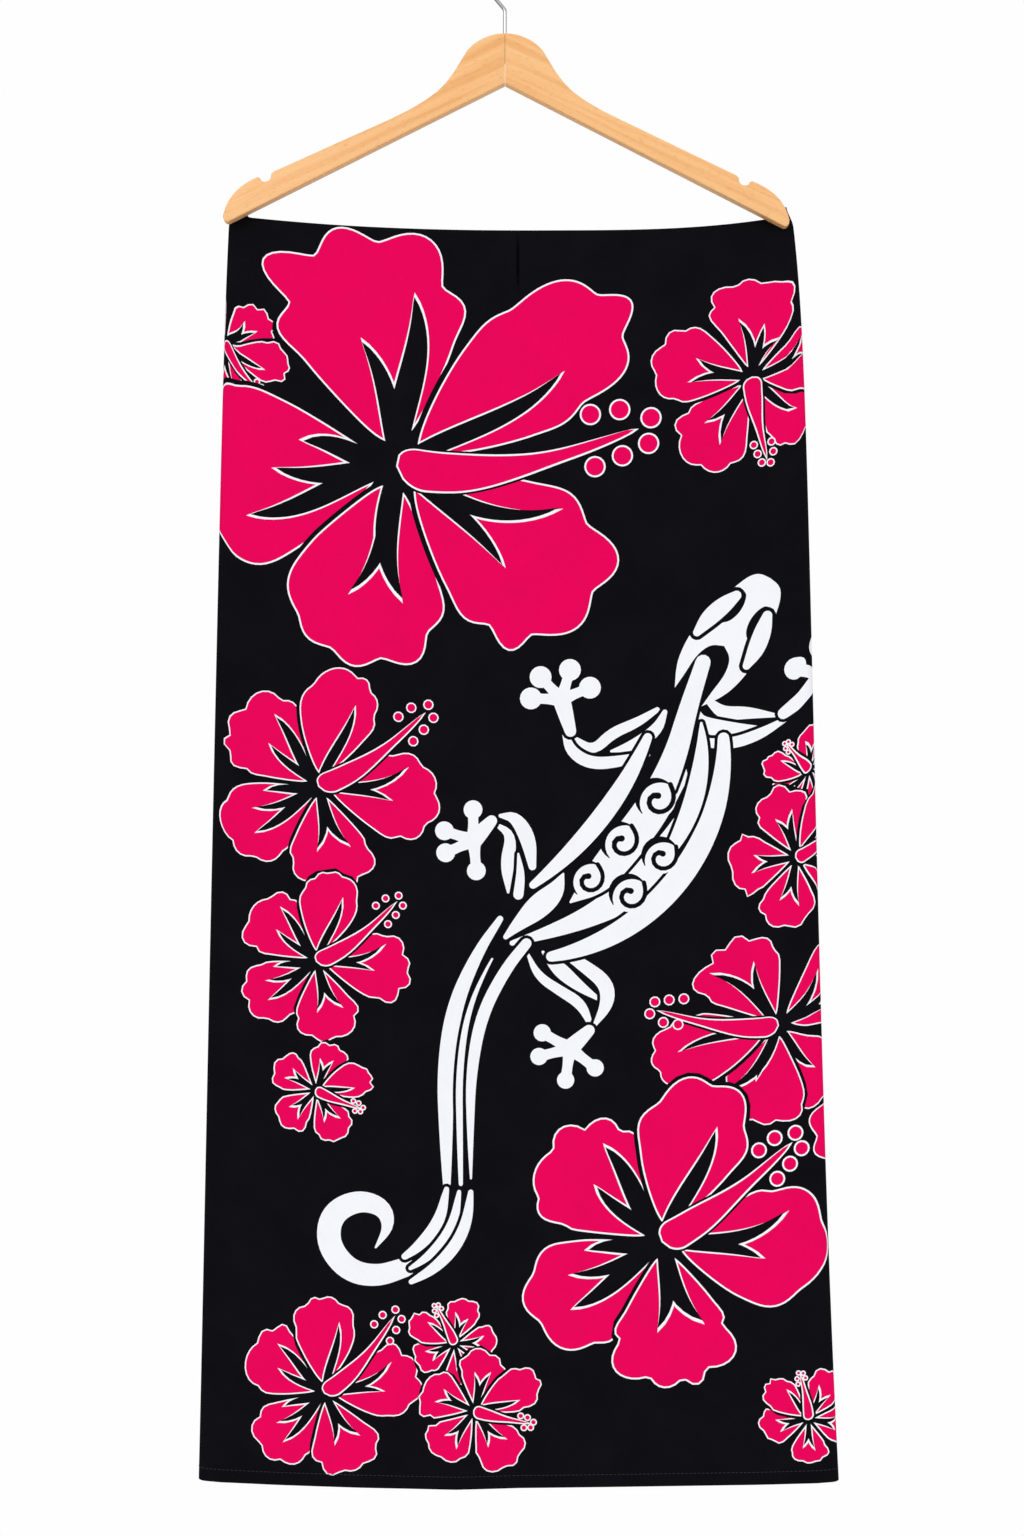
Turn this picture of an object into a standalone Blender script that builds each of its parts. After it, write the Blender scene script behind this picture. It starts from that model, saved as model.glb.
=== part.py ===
"""A tube sarong hung flat on a wooden clothes hanger.

Metres, +Z up, the front of the cloth towards -Y. The origin is the inner top of the hook, where it
hangs on a rail. The cloth is one sewn tube, built as its front and back stretches, which meet at the
side folds. Its top corners are tacked behind the tips of the hanger's arms, so the top edge sags
between them. The foot of the tube has a hem turned up inside.
"""

import math

import bmesh
import bpy
from mathutils import Matrix, Vector

# Clearance between pieces that touch on the real thing.
GAP = 0.0003

# Cloth: the tube's sizes, with its drop counted from the top edge to the hem.
WALL = 0.0010
TOP_Z = -0.2153
DROP = 0.9876
TOP_HALF_WIDTH = 0.2206
RELEASE = 0.0055
RELEASE_DROP = 0.07
FLARE = 0.0230
HEM_KICK = 0.0026
HEM_KICK_POWER = 6
CORNER_NARROWS = 0.0035
CORNER_NARROWS_OVER = 0.0154
TOP_CENTRE_X = 0.0042
LEAN = 0.0030
HEM_LEAN = 0.0036
HEM_LEAN_POWER = 4

# The top edge: how far the corners stand above its middle, and how square the sag is on each side.
SAG = 0.0120
SAG_POWER_LEFT = 2.0
SAG_POWER_RIGHT = 3.3
CORNER_PULL = 0.0070
CORNER_PULL_FROM = 0.94

# The hem edge: how far each place stands above the lowest one.
# columns: place across the cloth from -1 to 1, rise
HEM_RISE = (
    (-1.00, 0.0070),
    (-0.93, 0.0054),
    (-0.75, 0.0034),
    (-0.50, 0.0015),
    (-0.20, 0.0000),
    (0.00, 0.0016),
    (0.40, 0.0026),
    (0.75, 0.0035),
    (0.93, 0.0046),
    (1.00, 0.0060),
)

# Side folds: a flat edge where the stretches meet, and a round either side of it.
EDGE_FLAT = 0.0005
PINCH_RADIUS = 0.0014
FOLD_RADIUS = 0.0062
FOLD_OPENS = 0.13

# How far the front and back stand off the side folds in the middle of the cloth.
# columns: drop from 0 to 1, front, back
BELLY = (
    (0.00, 0.0030, 0.0080),
    (0.15, 0.0022, 0.0110),
    (0.50, 0.0024, 0.0105),
    (0.80, 0.0030, 0.0085),
    (1.00, 0.0026, 0.0095),
)
BELLY_SHOULDER = 0.95

# The tuck at the top of the front: a soft ridge with a sharp crease on its right. Each is highest
# or deepest a little to its own side of the line between them.
TUCK_X = 0.0090
TUCK_RIDGE = 0.0034
TUCK_CREASE = 0.0026
TUCK_RIDGE_WIDTH = 0.0085
TUCK_CREASE_WIDTH = 0.0045
TUCK_RIDGE_ASIDE = 0.00425
TUCK_CREASE_ASIDE = 0.0018
TUCK_DROP = 0.030
TUCK_LENGTH = 0.034

# Long soft folds that hang from the top of each stretch, and die out by the side folds.
# columns: place across from -1 to 1, depth into the tube, half width, drop where deepest, half length
FRONT_FOLDS = (
    (-0.62, 0.0012, 0.030, 0.22, 0.20),
    (0.07, 0.0011, 0.016, 0.14, 0.12),
    (0.55, 0.0010, 0.035, 0.30, 0.25),
    (-0.30, 0.0010, 0.040, 0.85, 0.22),
)
BACK_FOLDS = (
    (-0.45, 0.0030, 0.030, 0.10, 0.30),
    (0.08, 0.0045, 0.034, 0.16, 0.42),
    (0.52, 0.0026, 0.026, 0.08, 0.24),
    (-0.15, 0.0018, 0.045, 0.80, 0.26),
)
FOLDS_DIE_OVER = 0.1

# How finely the cloth is divided.
FOLD_STEPS = 5
FRONT_STEPS = 22
BACK_STEPS = 22
FRONT_ROWS = 22
BACK_ROWS = 18
ROW_CROWDING = 1.35
TUCK_COLUMNS = (-0.016, -0.010, -0.006, -0.003, -0.001, 0.0015, 0.004, 0.008)
TUCK_CLEARS = 0.6

# Hem: a strip turned up inside the foot of the tube.
HEM_HEIGHT = 0.0115
HEM_ROWS = 2

# Hanger: two flat arms of beech that meet under the hook.
ARM_THICK = 0.0120
ARM_EDGE = 0.0022
DOME_TOP_Z = -0.0631
APEX_Z = -0.1022
UNDER_SLOPE = math.radians(26.6)
ARM_EDGE_STEPS = 2
ARM_SHARP = math.radians(40)
DOME_STEPS = 6

# The right arm runs a little longer and hangs a little lower than the left one. The lower edge
# takes a share of the upper one's fall.
UNDER_FALL = 0.6
# columns: name, side (-1 left, 1 right), reach of the tip, fall of the upper edge at the tip
ARMS = (
    ("left", -1, 0.2204, 0.0),
    ("right", 1, 0.2224, 0.0042),
)

# The upper edge of an arm from the neck out to the strap notch.
# columns: distance from the centre line, fall below the dome's top
DOME_HALF_WIDTH = 0.0262
DOME_FALL = 0.0099
NECK = (
    (0.0295, 0.0133),
    (0.0345, 0.0215),
    (0.0395, 0.0297),
    (0.0460, 0.0385),
    (0.0535, 0.0460),
    (0.0625, 0.0524),
    (0.0740, 0.0593),
    (0.0890, 0.0668),
)
UPPER_SLOPE = math.radians(24.2)
NOTCH_X = 0.1823
NOTCH_RADIUS = 0.0050
NOTCH_DEPTH = 0.0072
NOTCH_INSET = 0.0004
NOTCH_END = math.radians(302.4)
NOTCH_STEPS = 6
# columns: distance out from the notch's place, rise from the upper edge
NOTCH_LIP = ((-0.0015, 0.0007), (0.0006, -0.0014))
SHOULDER_X = 0.1925
# columns: distance out from the shoulder's place, rise from the upper edge
SHOULDER_ROUND = ((-0.0012, 0.0002), (0.0006, 0.0011))

# The rounded end of an arm, from its shoulder down to a blunt heel.
TIP_STEPS = 7
TIP_TURN_IN = 0.0045
TIP_TURN_DOWN = 0.0095
TIP_NOSE_RISE = 0.0050
TIP_HEEL = 0.0040
# columns: distance in from the tip, rise from the heel
HEEL_ROUND = ((0.0006, 0.0016), (0.0022, 0.0002))

# Hook: bright wire, with its shank in a hole between the arms.
WIRE_RADIUS = 0.0016
LOOP_RADIUS = 0.0176
LOOP_END = math.radians(-28)
JOG_ANGLE = math.radians(40)
JOG_RADIUS = 0.0045
SHANK_IN_WOOD = 0.0220
SHANK_STEP = 0.0085
WIRE_STEP = 0.0034
JOG_STEPS = 4
WIRE_SIDES_STEPS = 3
# columns: reach past the wire's end and width there, both as shares of its radius
WIRE_TIP = ((0.5, 0.87), (0.87, 0.5))

# Tacks: a flat head behind each top corner of the cloth, with a pin through it into the arm.
TACK_INSET = 0.0100
TACK_BELOW_CORNER = 0.0075
TACK_HEAD_RADIUS = 0.0030
TACK_HEAD_THICK = 0.0010
TACK_PIN_RADIUS = 0.0007
TACK_PIN_IN_WOOD = 0.0070
TACK_POINT = 0.0014
TACK_CLEAR = 0.0009
TACK_SIDES = 16
TACK_SHARP = math.radians(35)
# columns: share of the head's radius, share of its thickness
TACK_CROWN = ((1.0, 0.6), (0.6, 1.0), (0.0, 1.1))

# Holes: how far their cutters reach past what they cut.
HOLE_SIDES = 16
HOLE_PAST_DOME = 0.0050
HOLE_PAST_CLOTH = 0.0100

# Two places nearer than this are one.
SAME_PLACE = 0.00001

FOLD_HALF_DEPTH_AT_TOP = EDGE_FLAT + PINCH_RADIUS
MID_Y = ARM_THICK / 2 + GAP + FOLD_HALF_DEPTH_AT_TOP

COLOURS = {
    # name: colour, roughness, metallic
    "black_cotton": ((0.012, 0.012, 0.015, 1.0), 0.85, 0.0),
    "beech": ((0.87, 0.49, 0.21, 1.0), 0.42, 0.0),
    "bright_wire": ((0.62, 0.62, 0.63, 1.0), 0.18, 1.0),
    "tack_steel": ((0.55, 0.55, 0.56, 1.0), 0.35, 1.0),
}


def empty_scene():
    for thing in list(bpy.data.objects):
        bpy.data.objects.remove(thing, do_unlink=True)


def material(name):
    colour, roughness, metallic = COLOURS[name]
    made = bpy.data.materials.new(name)
    made.use_nodes = True
    shader = made.node_tree.nodes["Principled BSDF"]
    shader.inputs["Base Color"].default_value = colour
    shader.inputs["Roughness"].default_value = roughness
    shader.inputs["Metallic"].default_value = metallic
    return made


def place(name, bm, finish):
    mesh = bpy.data.meshes.new(name)
    bm.to_mesh(mesh)
    bm.free()
    made = bpy.data.objects.new(name, mesh)
    bpy.context.scene.collection.objects.link(made)
    mesh.materials.append(finish)
    return made


def soft_step(value):
    t = min(1.0, max(0.0, value))
    return t * t * (3 - 2 * t)


def read_row(rows, at, column):
    """The value of a table's column at a place along its first column, joined by straight runs."""
    for low, high in zip(rows, rows[1:]):
        if at <= high[0]:
            share = (at - low[0]) / (high[0] - low[0])
            return low[column] + (high[column] - low[column]) * max(0.0, share)
    return rows[-1][column]


def half_width(drop):
    release = RELEASE * (1 - math.exp(-drop / RELEASE_DROP))
    corner = CORNER_NARROWS * (1 - soft_step(drop / CORNER_NARROWS_OVER))
    return TOP_HALF_WIDTH + release - corner + FLARE * drop + HEM_KICK * drop**HEM_KICK_POWER


def centre_x(drop):
    release = LEAN * (1 - math.exp(-drop / RELEASE_DROP))
    return TOP_CENTRE_X + release + HEM_LEAN * drop**HEM_LEAN_POWER


def fold_radius(drop):
    return PINCH_RADIUS + (FOLD_RADIUS - PINCH_RADIUS) * soft_step(drop / FOLD_OPENS)


def height(across, drop):
    """World height of a place on the cloth, sagging from its corners."""
    power = SAG_POWER_LEFT if across < 0 else SAG_POWER_RIGHT
    pull = soft_step((abs(across) - CORNER_PULL_FROM) / (1 - CORNER_PULL_FROM))
    top = TOP_Z + SAG * abs(across) ** power + CORNER_PULL * pull
    foot = TOP_Z - DROP + read_row(HEM_RISE, across, 1)
    return top + (foot - top) * drop


def hanging_folds(folds, across, x, drop):
    """How far the long soft folds draw a place into the tube."""
    into = 0.0
    for place_across, depth, half, deepest, length in folds:
        beside = (x - centre_x(drop) - place_across * half_width(drop)) / half
        along = (drop - deepest) / length
        into += depth * math.exp(-beside * beside - along * along)
    return into * soft_step((1 - abs(across)) / FOLDS_DIE_OVER)


def tuck(x, drop):
    """How far the tuck at the top of the front stands forward."""
    below = drop * DROP
    along = math.exp(-(((below - TUCK_DROP) / TUCK_LENGTH) ** 2))
    left = (x - TUCK_X + TUCK_RIDGE_ASIDE) / TUCK_RIDGE_WIDTH
    right = (x - TUCK_X - TUCK_CREASE_ASIDE) / TUCK_CREASE_WIDTH
    ridge = TUCK_RIDGE * math.exp(-left * left) if x < TUCK_X else 0.0
    crease = TUCK_CREASE * math.exp(-right * right) if x >= TUCK_X else 0.0
    return along * (ridge - crease)


def cloth_point(side, column, drop):
    """A place on the outer face of a stretch: side is -1 for the front and 1 for the back."""
    half = half_width(drop)
    radius = fold_radius(drop)
    kind, value = column
    if kind == "edge":
        x = value * half
        off = GAP / 2
    elif kind == "round":
        turn = abs(value)
        x = math.copysign(half - radius * (1 - math.cos(turn)), value)
        off = EDGE_FLAT + radius * math.sin(turn)
    else:
        x = value * (half - radius)
        off = EDGE_FLAT + radius
        belly = read_row(BELLY, drop, 1 if side < 0 else 2)
        off += belly * soft_step((1 - abs(value)) / BELLY_SHOULDER)
    across = x / half
    x += centre_x(drop)
    if kind == "flat":
        off -= hanging_folds(FRONT_FOLDS if side < 0 else BACK_FOLDS, across, x, drop)
        if side < 0:
            off += tuck(x, drop)
    return Vector((x, MID_Y + side * off, height(across, drop)))


def columns(steps, crowded):
    """Places across a stretch, from one side fold to the other."""
    turns = [math.pi / 2 * i / FOLD_STEPS for i in range(FOLD_STEPS + 1)]
    flat = [-1 + 2 * i / steps for i in range(1, steps)]
    if crowded:
        middle = half_width(0)
        tucked = [(TUCK_X - TOP_CENTRE_X + step) / middle for step in TUCK_COLUMNS]
        clear = TUCK_CLEARS / steps
        flat = [f for f in flat if f < tucked[0] - clear or f > tucked[-1] + clear]
        flat = sorted(flat + tucked)
    left = [("edge", -1)] + [("round", math.copysign(turn, -1)) for turn in turns]
    right = [("round", turn) for turn in reversed(turns)] + [("edge", 1)]
    return left + [("flat", f) for f in flat] + right


def stretch(name, side, across, drops, finish):
    """One stretch of the tube as a sheet on its outer face, still without its wall."""
    bm = bmesh.new()
    grid = bmesh.ops.create_grid(
        bm, x_segments=len(across) - 1, y_segments=len(drops) - 1, size=0.5
    )["verts"]
    ordered = sorted(grid, key=lambda v: (round(v.co.y, 6), round(v.co.x, 6)))
    for index, vert in enumerate(ordered):
        row, column = divmod(index, len(across))
        vert.co = cloth_point(side, across[column], drops[-1 - row])
    bmesh.ops.recalc_face_normals(bm, faces=bm.faces)
    middle = min(bm.faces, key=lambda f: abs(f.calc_center_median().x))
    if middle.normal.y * side < 0:
        bmesh.ops.reverse_faces(bm, faces=bm.faces)
    made = place(name, bm, finish)
    made.data.shade_smooth()
    return made


def add_wall(made, thickness, layers_in):
    """Gives a sheet its wall, inwards, a number of layers behind the outer one."""
    wall = made.modifiers.new("wall", "SOLIDIFY")
    wall.thickness = thickness
    wall.offset = -1 - 2 * layers_in * (1 + GAP / thickness)
    wall.use_even_offset = True
    wall.use_rim = True


def drops_of(rows):
    return [(i / rows) ** ROW_CROWDING for i in range(rows + 1)]


def make_cloth(finish):
    front_across = columns(FRONT_STEPS, True)
    back_across = columns(BACK_STEPS, False)
    front = stretch("front_panel", -1, front_across, drops_of(FRONT_ROWS), finish)
    back = stretch("back_panel", 1, back_across, drops_of(BACK_ROWS), finish)
    hem_drops = [1 - HEM_HEIGHT / DROP * (1 - i / HEM_ROWS) for i in range(HEM_ROWS + 1)]
    front_hem = stretch("front_hem", -1, back_across, hem_drops, finish)
    back_hem = stretch("back_hem", 1, back_across, hem_drops, finish)
    for panel in (front, back):
        add_wall(panel, WALL, 0)
    for hem in (front_hem, back_hem):
        add_wall(hem, WALL, 1)
    return front, back


def arc(centre, radius, start, end, steps):
    """Points along an arc in the XZ plane, both ends among them."""
    return [
        Vector(
            (
                centre[0] + radius * math.cos(start + (end - start) * i / steps),
                centre[1] + radius * math.sin(start + (end - start) * i / steps),
            )
        )
        for i in range(steps + 1)
    ]


def arm_outline(reach, fall):
    """The outline of an arm out to the right of the centre line, as (distance, height) points."""
    half_gap = GAP / 2
    dome_radius = (DOME_HALF_WIDTH**2 + DOME_FALL**2) / (2 * DOME_FALL)
    dome_centre = (0.0, DOME_TOP_Z - dome_radius)
    from_angle = math.acos(half_gap / dome_radius)
    to_angle = math.acos(DOME_HALF_WIDTH / dome_radius)
    points = arc(dome_centre, dome_radius, from_angle, to_angle, DOME_STEPS)
    points += [Vector((out, DOME_TOP_Z - down)) for out, down in NECK]

    # The long upper edge, then the strap notch cut square to it, and the blunt shoulder beyond.
    neck_out, neck_down = NECK[-1]
    slope = math.tan(UPPER_SLOPE)

    def upper(out):
        share = (out - neck_out) / (reach - neck_out)
        return DOME_TOP_Z - neck_down - (out - neck_out) * slope - fall * share

    lip = upper(NOTCH_X)
    points += [Vector((NOTCH_X + out, upper(NOTCH_X) + rise)) for out, rise in NOTCH_LIP]
    notch_centre = (NOTCH_X + NOTCH_INSET + NOTCH_RADIUS, lip - NOTCH_DEPTH + NOTCH_RADIUS)
    points += arc(notch_centre, NOTCH_RADIUS, math.pi, NOTCH_END, NOTCH_STEPS)
    shoulder = upper(SHOULDER_X)
    points += [Vector((SHOULDER_X + out, shoulder + rise)) for out, rise in SHOULDER_ROUND]

    # The rounded end runs down to a blunt heel on the straight lower edge.
    heel_z = APEX_Z - (reach - TIP_HEEL) * math.tan(UNDER_SLOPE) - UNDER_FALL * fall
    end_from = points[-1]
    turn = Vector((reach - TIP_TURN_IN, end_from.y - TIP_TURN_DOWN))
    nose = Vector((reach, heel_z + TIP_NOSE_RISE))
    for i in range(1, TIP_STEPS + 1):
        t = i / TIP_STEPS
        points.append(end_from * (1 - t) ** 2 + turn * 2 * t * (1 - t) + nose * t * t)
    points += [Vector((reach - inwards, heel_z + rise)) for inwards, rise in HEEL_ROUND]
    points.append(Vector((reach - TIP_HEEL, heel_z)))
    points.append(Vector((half_gap, APEX_Z)))
    return points


def make_arm(name, side, reach, fall, finish):
    bm = bmesh.new()
    outline = arm_outline(reach, fall)
    verts = [bm.verts.new((side * p.x, -ARM_THICK / 2, p.y)) for p in outline]
    face = bm.faces.new(verts)
    swept = bmesh.ops.extrude_face_region(bm, geom=[face])["geom"]
    moved = [v for v in swept if isinstance(v, bmesh.types.BMVert)]
    bmesh.ops.translate(bm, verts=moved, vec=(0, ARM_THICK, 0))
    bmesh.ops.recalc_face_normals(bm, faces=bm.faces)
    edges = [
        e
        for e in bm.edges
        if abs(e.verts[0].co.y - e.verts[1].co.y) < GAP
        and max(abs(v.co.x) for v in e.verts) > GAP
    ]
    bmesh.ops.bevel(
        bm,
        geom=edges,
        offset=ARM_EDGE,
        segments=ARM_EDGE_STEPS,
        profile=0.5,
        affect="EDGES",
        clamp_overlap=True,
        material=-1,
    )
    made = place(name, bm, finish)
    made.data.shade_smooth()
    made.data.set_sharp_from_angle(angle=ARM_SHARP)
    return made


def hook_route():
    """The wire's centreline in the XZ plane: out of the wood, a jog to the left, and round."""
    loop_top = LOOP_RADIUS - WIRE_RADIUS
    centre = (0.0, -loop_top)
    join_angle = math.pi + JOG_ANGLE
    join = Vector(
        (LOOP_RADIUS * math.cos(join_angle), centre[1] + LOOP_RADIUS * math.sin(join_angle))
    )
    run = (-join.x - JOG_RADIUS * (1 - math.cos(JOG_ANGLE))) / math.sin(JOG_ANGLE)
    jog_z = join.y - run * math.cos(JOG_ANGLE) - JOG_RADIUS * math.sin(JOG_ANGLE)
    foot = Vector((0.0, DOME_TOP_Z - SHANK_IN_WOOD))
    steps = round((jog_z - foot.y) / SHANK_STEP)
    points = [foot.lerp(Vector((0.0, jog_z)), i / steps) for i in range(steps)]
    points += arc((-JOG_RADIUS, jog_z), JOG_RADIUS, 0.0, JOG_ANGLE, JOG_STEPS)
    start = points[-1]
    runs = max(1, round(run / WIRE_STEP))
    points += [start.lerp(join, i / runs) for i in range(1, runs)]
    turn = LOOP_END - join_angle
    points += arc(centre, LOOP_RADIUS, join_angle, LOOP_END, round(-turn * LOOP_RADIUS / WIRE_STEP))
    return points


def make_hook(finish):
    route = hook_route()
    onwards = (route[-1] - route[-2]).normalized()
    tip = [route[-1] + onwards * WIRE_RADIUS * reach for reach, _ in WIRE_TIP]
    sizes = [1.0] * len(route) + [size for _, size in WIRE_TIP]
    curve = bpy.data.curves.new("hook", "CURVE")
    curve.dimensions = "3D"
    curve.bevel_depth = WIRE_RADIUS
    curve.bevel_resolution = WIRE_SIDES_STEPS
    curve.use_fill_caps = True
    spline = curve.splines.new("POLY")
    spline.points.add(len(sizes) - 1)
    for point, at, size in zip(spline.points, route + tip, sizes):
        point.co = (at.x, 0.0, at.y, 1.0)
        point.radius = size
    curve.materials.append(finish)
    made = bpy.data.objects.new("hook", curve)
    bpy.context.scene.collection.objects.link(made)
    return made


def cutter(name, radius, start, end):
    """A hidden round cutter between two points."""
    bm = bmesh.new()
    bmesh.ops.create_cone(
        bm,
        cap_ends=True,
        segments=HOLE_SIDES,
        radius1=radius,
        radius2=radius,
        depth=(end - start).length,
    )
    turn = Vector((0, 0, 1)).rotation_difference(end - start).to_matrix().to_4x4()
    bmesh.ops.transform(bm, matrix=Matrix.Translation((start + end) / 2) @ turn, verts=bm.verts)
    mesh = bpy.data.meshes.new(name)
    bm.to_mesh(mesh)
    bm.free()
    made = bpy.data.objects.new(name, mesh)
    bpy.context.scene.collection.objects.link(made)
    made.hide_render = True
    made.display_type = "WIRE"
    return made


def cut(made, tool):
    hole = made.modifiers.new("hole", "BOOLEAN")
    hole.operation = "DIFFERENCE"
    hole.solver = "EXACT"
    hole.object = tool


def tack_place(side):
    """Where a tack's pin meets the back of its arm, in x and z."""
    drop = TACK_BELOW_CORNER / DROP
    x = centre_x(drop) + side * (half_width(drop) - TACK_INSET)
    return x, height(side, 0) - TACK_BELOW_CORNER


def make_tack(name, side, finish):
    """A turned tack lying along Y, its head behind the cloth."""
    x, z = tack_place(side)
    seat = MID_Y + FOLD_HALF_DEPTH_AT_TOP + TACK_CLEAR
    point = ARM_THICK / 2 - TACK_PIN_IN_WOOD
    profile = [(0.0, point), (TACK_PIN_RADIUS, point + TACK_POINT)]
    profile += [(TACK_PIN_RADIUS, seat), (TACK_HEAD_RADIUS, seat)]
    profile += [(TACK_HEAD_RADIUS * r, seat + TACK_HEAD_THICK * t) for r, t in TACK_CROWN]
    bm = bmesh.new()
    verts = [bm.verts.new((radius, y, 0.0)) for radius, y in profile]
    edges = [bm.edges.new(pair) for pair in zip(verts, verts[1:])]
    bmesh.ops.spin(
        bm,
        geom=verts + edges,
        axis=(0, 1, 0),
        cent=(0, 0, 0),
        steps=TACK_SIDES,
        angle=2 * math.pi,
        use_merge=True,
    )
    bmesh.ops.remove_doubles(bm, verts=bm.verts, dist=SAME_PLACE)
    bmesh.ops.recalc_face_normals(bm, faces=bm.faces)
    bmesh.ops.translate(bm, verts=bm.verts, vec=(x, 0, z))
    made = place(name, bm, finish)
    made.data.shade_smooth()
    made.data.set_sharp_from_angle(angle=TACK_SHARP)
    return made


empty_scene()
cotton = material("black_cotton")
beech = material("beech")
bright_wire = material("bright_wire")
tack_steel = material("tack_steel")

front_panel, back_panel = make_cloth(cotton)
make_hook(bright_wire)

# The hole that the shank stands in runs down the joint between the arms.
shank_hole = cutter(
    "shank_hole",
    WIRE_RADIUS + GAP,
    Vector((0, 0, DOME_TOP_Z - SHANK_IN_WOOD - GAP)),
    Vector((0, 0, DOME_TOP_Z + HOLE_PAST_DOME)),
)
for side_name, side, reach, fall in ARMS:
    arm = make_arm(f"arm_{side_name}", side, reach, fall, beech)
    cut(arm, shank_hole)
    make_tack(f"tack_{side_name}", side, tack_steel)
    tack_x, tack_z = tack_place(side)
    pin_hole = cutter(
        f"pin_hole_{side_name}",
        TACK_PIN_RADIUS + GAP,
        Vector((tack_x, ARM_THICK / 2 - TACK_PIN_IN_WOOD - GAP, tack_z)),
        Vector((tack_x, MID_Y + HOLE_PAST_CLOTH, tack_z)),
    )
    for holed in (arm, front_panel, back_panel):
        cut(holed, pin_hole)
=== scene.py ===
"""A printed cotton tube sarong on its wooden hanger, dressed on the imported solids."""

import math
import random

import bmesh
import bpy
import numpy as np
from mathutils import Matrix, Vector
from mathutils.geometry import delaunay_2d_cdt


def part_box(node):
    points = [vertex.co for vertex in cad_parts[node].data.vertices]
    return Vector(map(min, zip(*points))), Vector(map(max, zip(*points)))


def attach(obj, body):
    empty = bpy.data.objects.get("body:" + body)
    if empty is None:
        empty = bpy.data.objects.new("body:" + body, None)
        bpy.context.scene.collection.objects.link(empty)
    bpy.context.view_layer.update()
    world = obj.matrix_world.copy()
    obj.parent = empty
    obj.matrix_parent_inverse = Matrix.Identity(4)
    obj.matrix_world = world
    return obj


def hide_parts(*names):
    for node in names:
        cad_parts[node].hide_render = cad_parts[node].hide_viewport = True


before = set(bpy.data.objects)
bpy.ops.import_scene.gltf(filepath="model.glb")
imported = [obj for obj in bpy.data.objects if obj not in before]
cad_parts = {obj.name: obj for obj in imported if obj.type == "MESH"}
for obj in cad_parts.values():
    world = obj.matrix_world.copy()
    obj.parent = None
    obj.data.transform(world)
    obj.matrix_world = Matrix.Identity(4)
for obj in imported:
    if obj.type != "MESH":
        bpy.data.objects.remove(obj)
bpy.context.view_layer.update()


# The hanger's two arms. Flat beech, sawn to shape, its edges rounded over and clear lacquered,
# glued together on the centre line. Each has a strap notch cut square to its upper edge.
ARM_HALF_THICK = 0.0060
ARM_ROUND = 0.0026
JOINT_HALF_GAP = 0.00015
DOME_TOP = -0.0631
DOME_HALF_WIDTH = 0.0262
DOME_FALL = 0.0099
APEX = -0.1022
# columns: distance from the centre line, fall below the dome's top
NECK = (
    (0.0295, 0.0133),
    (0.0345, 0.0215),
    (0.0395, 0.0297),
    (0.0460, 0.0385),
    (0.0535, 0.0460),
    (0.0625, 0.0524),
    (0.0740, 0.0593),
    (0.0890, 0.0668),
)
UPPER_SLOPE = math.tan(math.radians(24.2))
UNDER_SLOPE = math.tan(math.radians(26.6))
UNDER_FALL = 0.6
NOTCH_OUT = 0.1823
NOTCH_RADIUS = 0.0050
NOTCH_DEPTH = 0.0072
NOTCH_IN = 0.0004
NOTCH_TURN = 1.68 * math.pi
LIP_EASE = 0.0015
LIP = 0.0006 - 0.0014j
UPPER_OUTS = (0.12, 0.15)
SHOULDER_OUT = 0.1925
# points out and up: from the shoulder, of the nose's pull, and from the heel of the tip
SHOULDER = (-0.0012 + 0.0002j, 0.0006 + 0.0011j)
NOSE_PULL = -0.0045 - 0.0095j
NOSE_UP = 0.0050
HEEL_IN = 0.004
HEEL = (-0.0002 + 0.0030j, -0.0008 + 0.0014j, -0.0020 + 0.0004j, -0.0040)
ARC_STEPS = 14
NECK_POINTS = 24
# columns: node, side, reach of the tip, fall of the upper edge at the tip
ARMS = (
    ("arm_left", -1, 0.2204, 0.0),
    ("arm_right", 1, 0.2224, 0.0042),
)


def arc(middle, radius, start, end, steps):
    """Points along an arc, as complex numbers of distance out and height."""
    turns = np.linspace(start, end, steps + 1)
    return list(middle + radius * np.exp(1j * turns))


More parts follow.
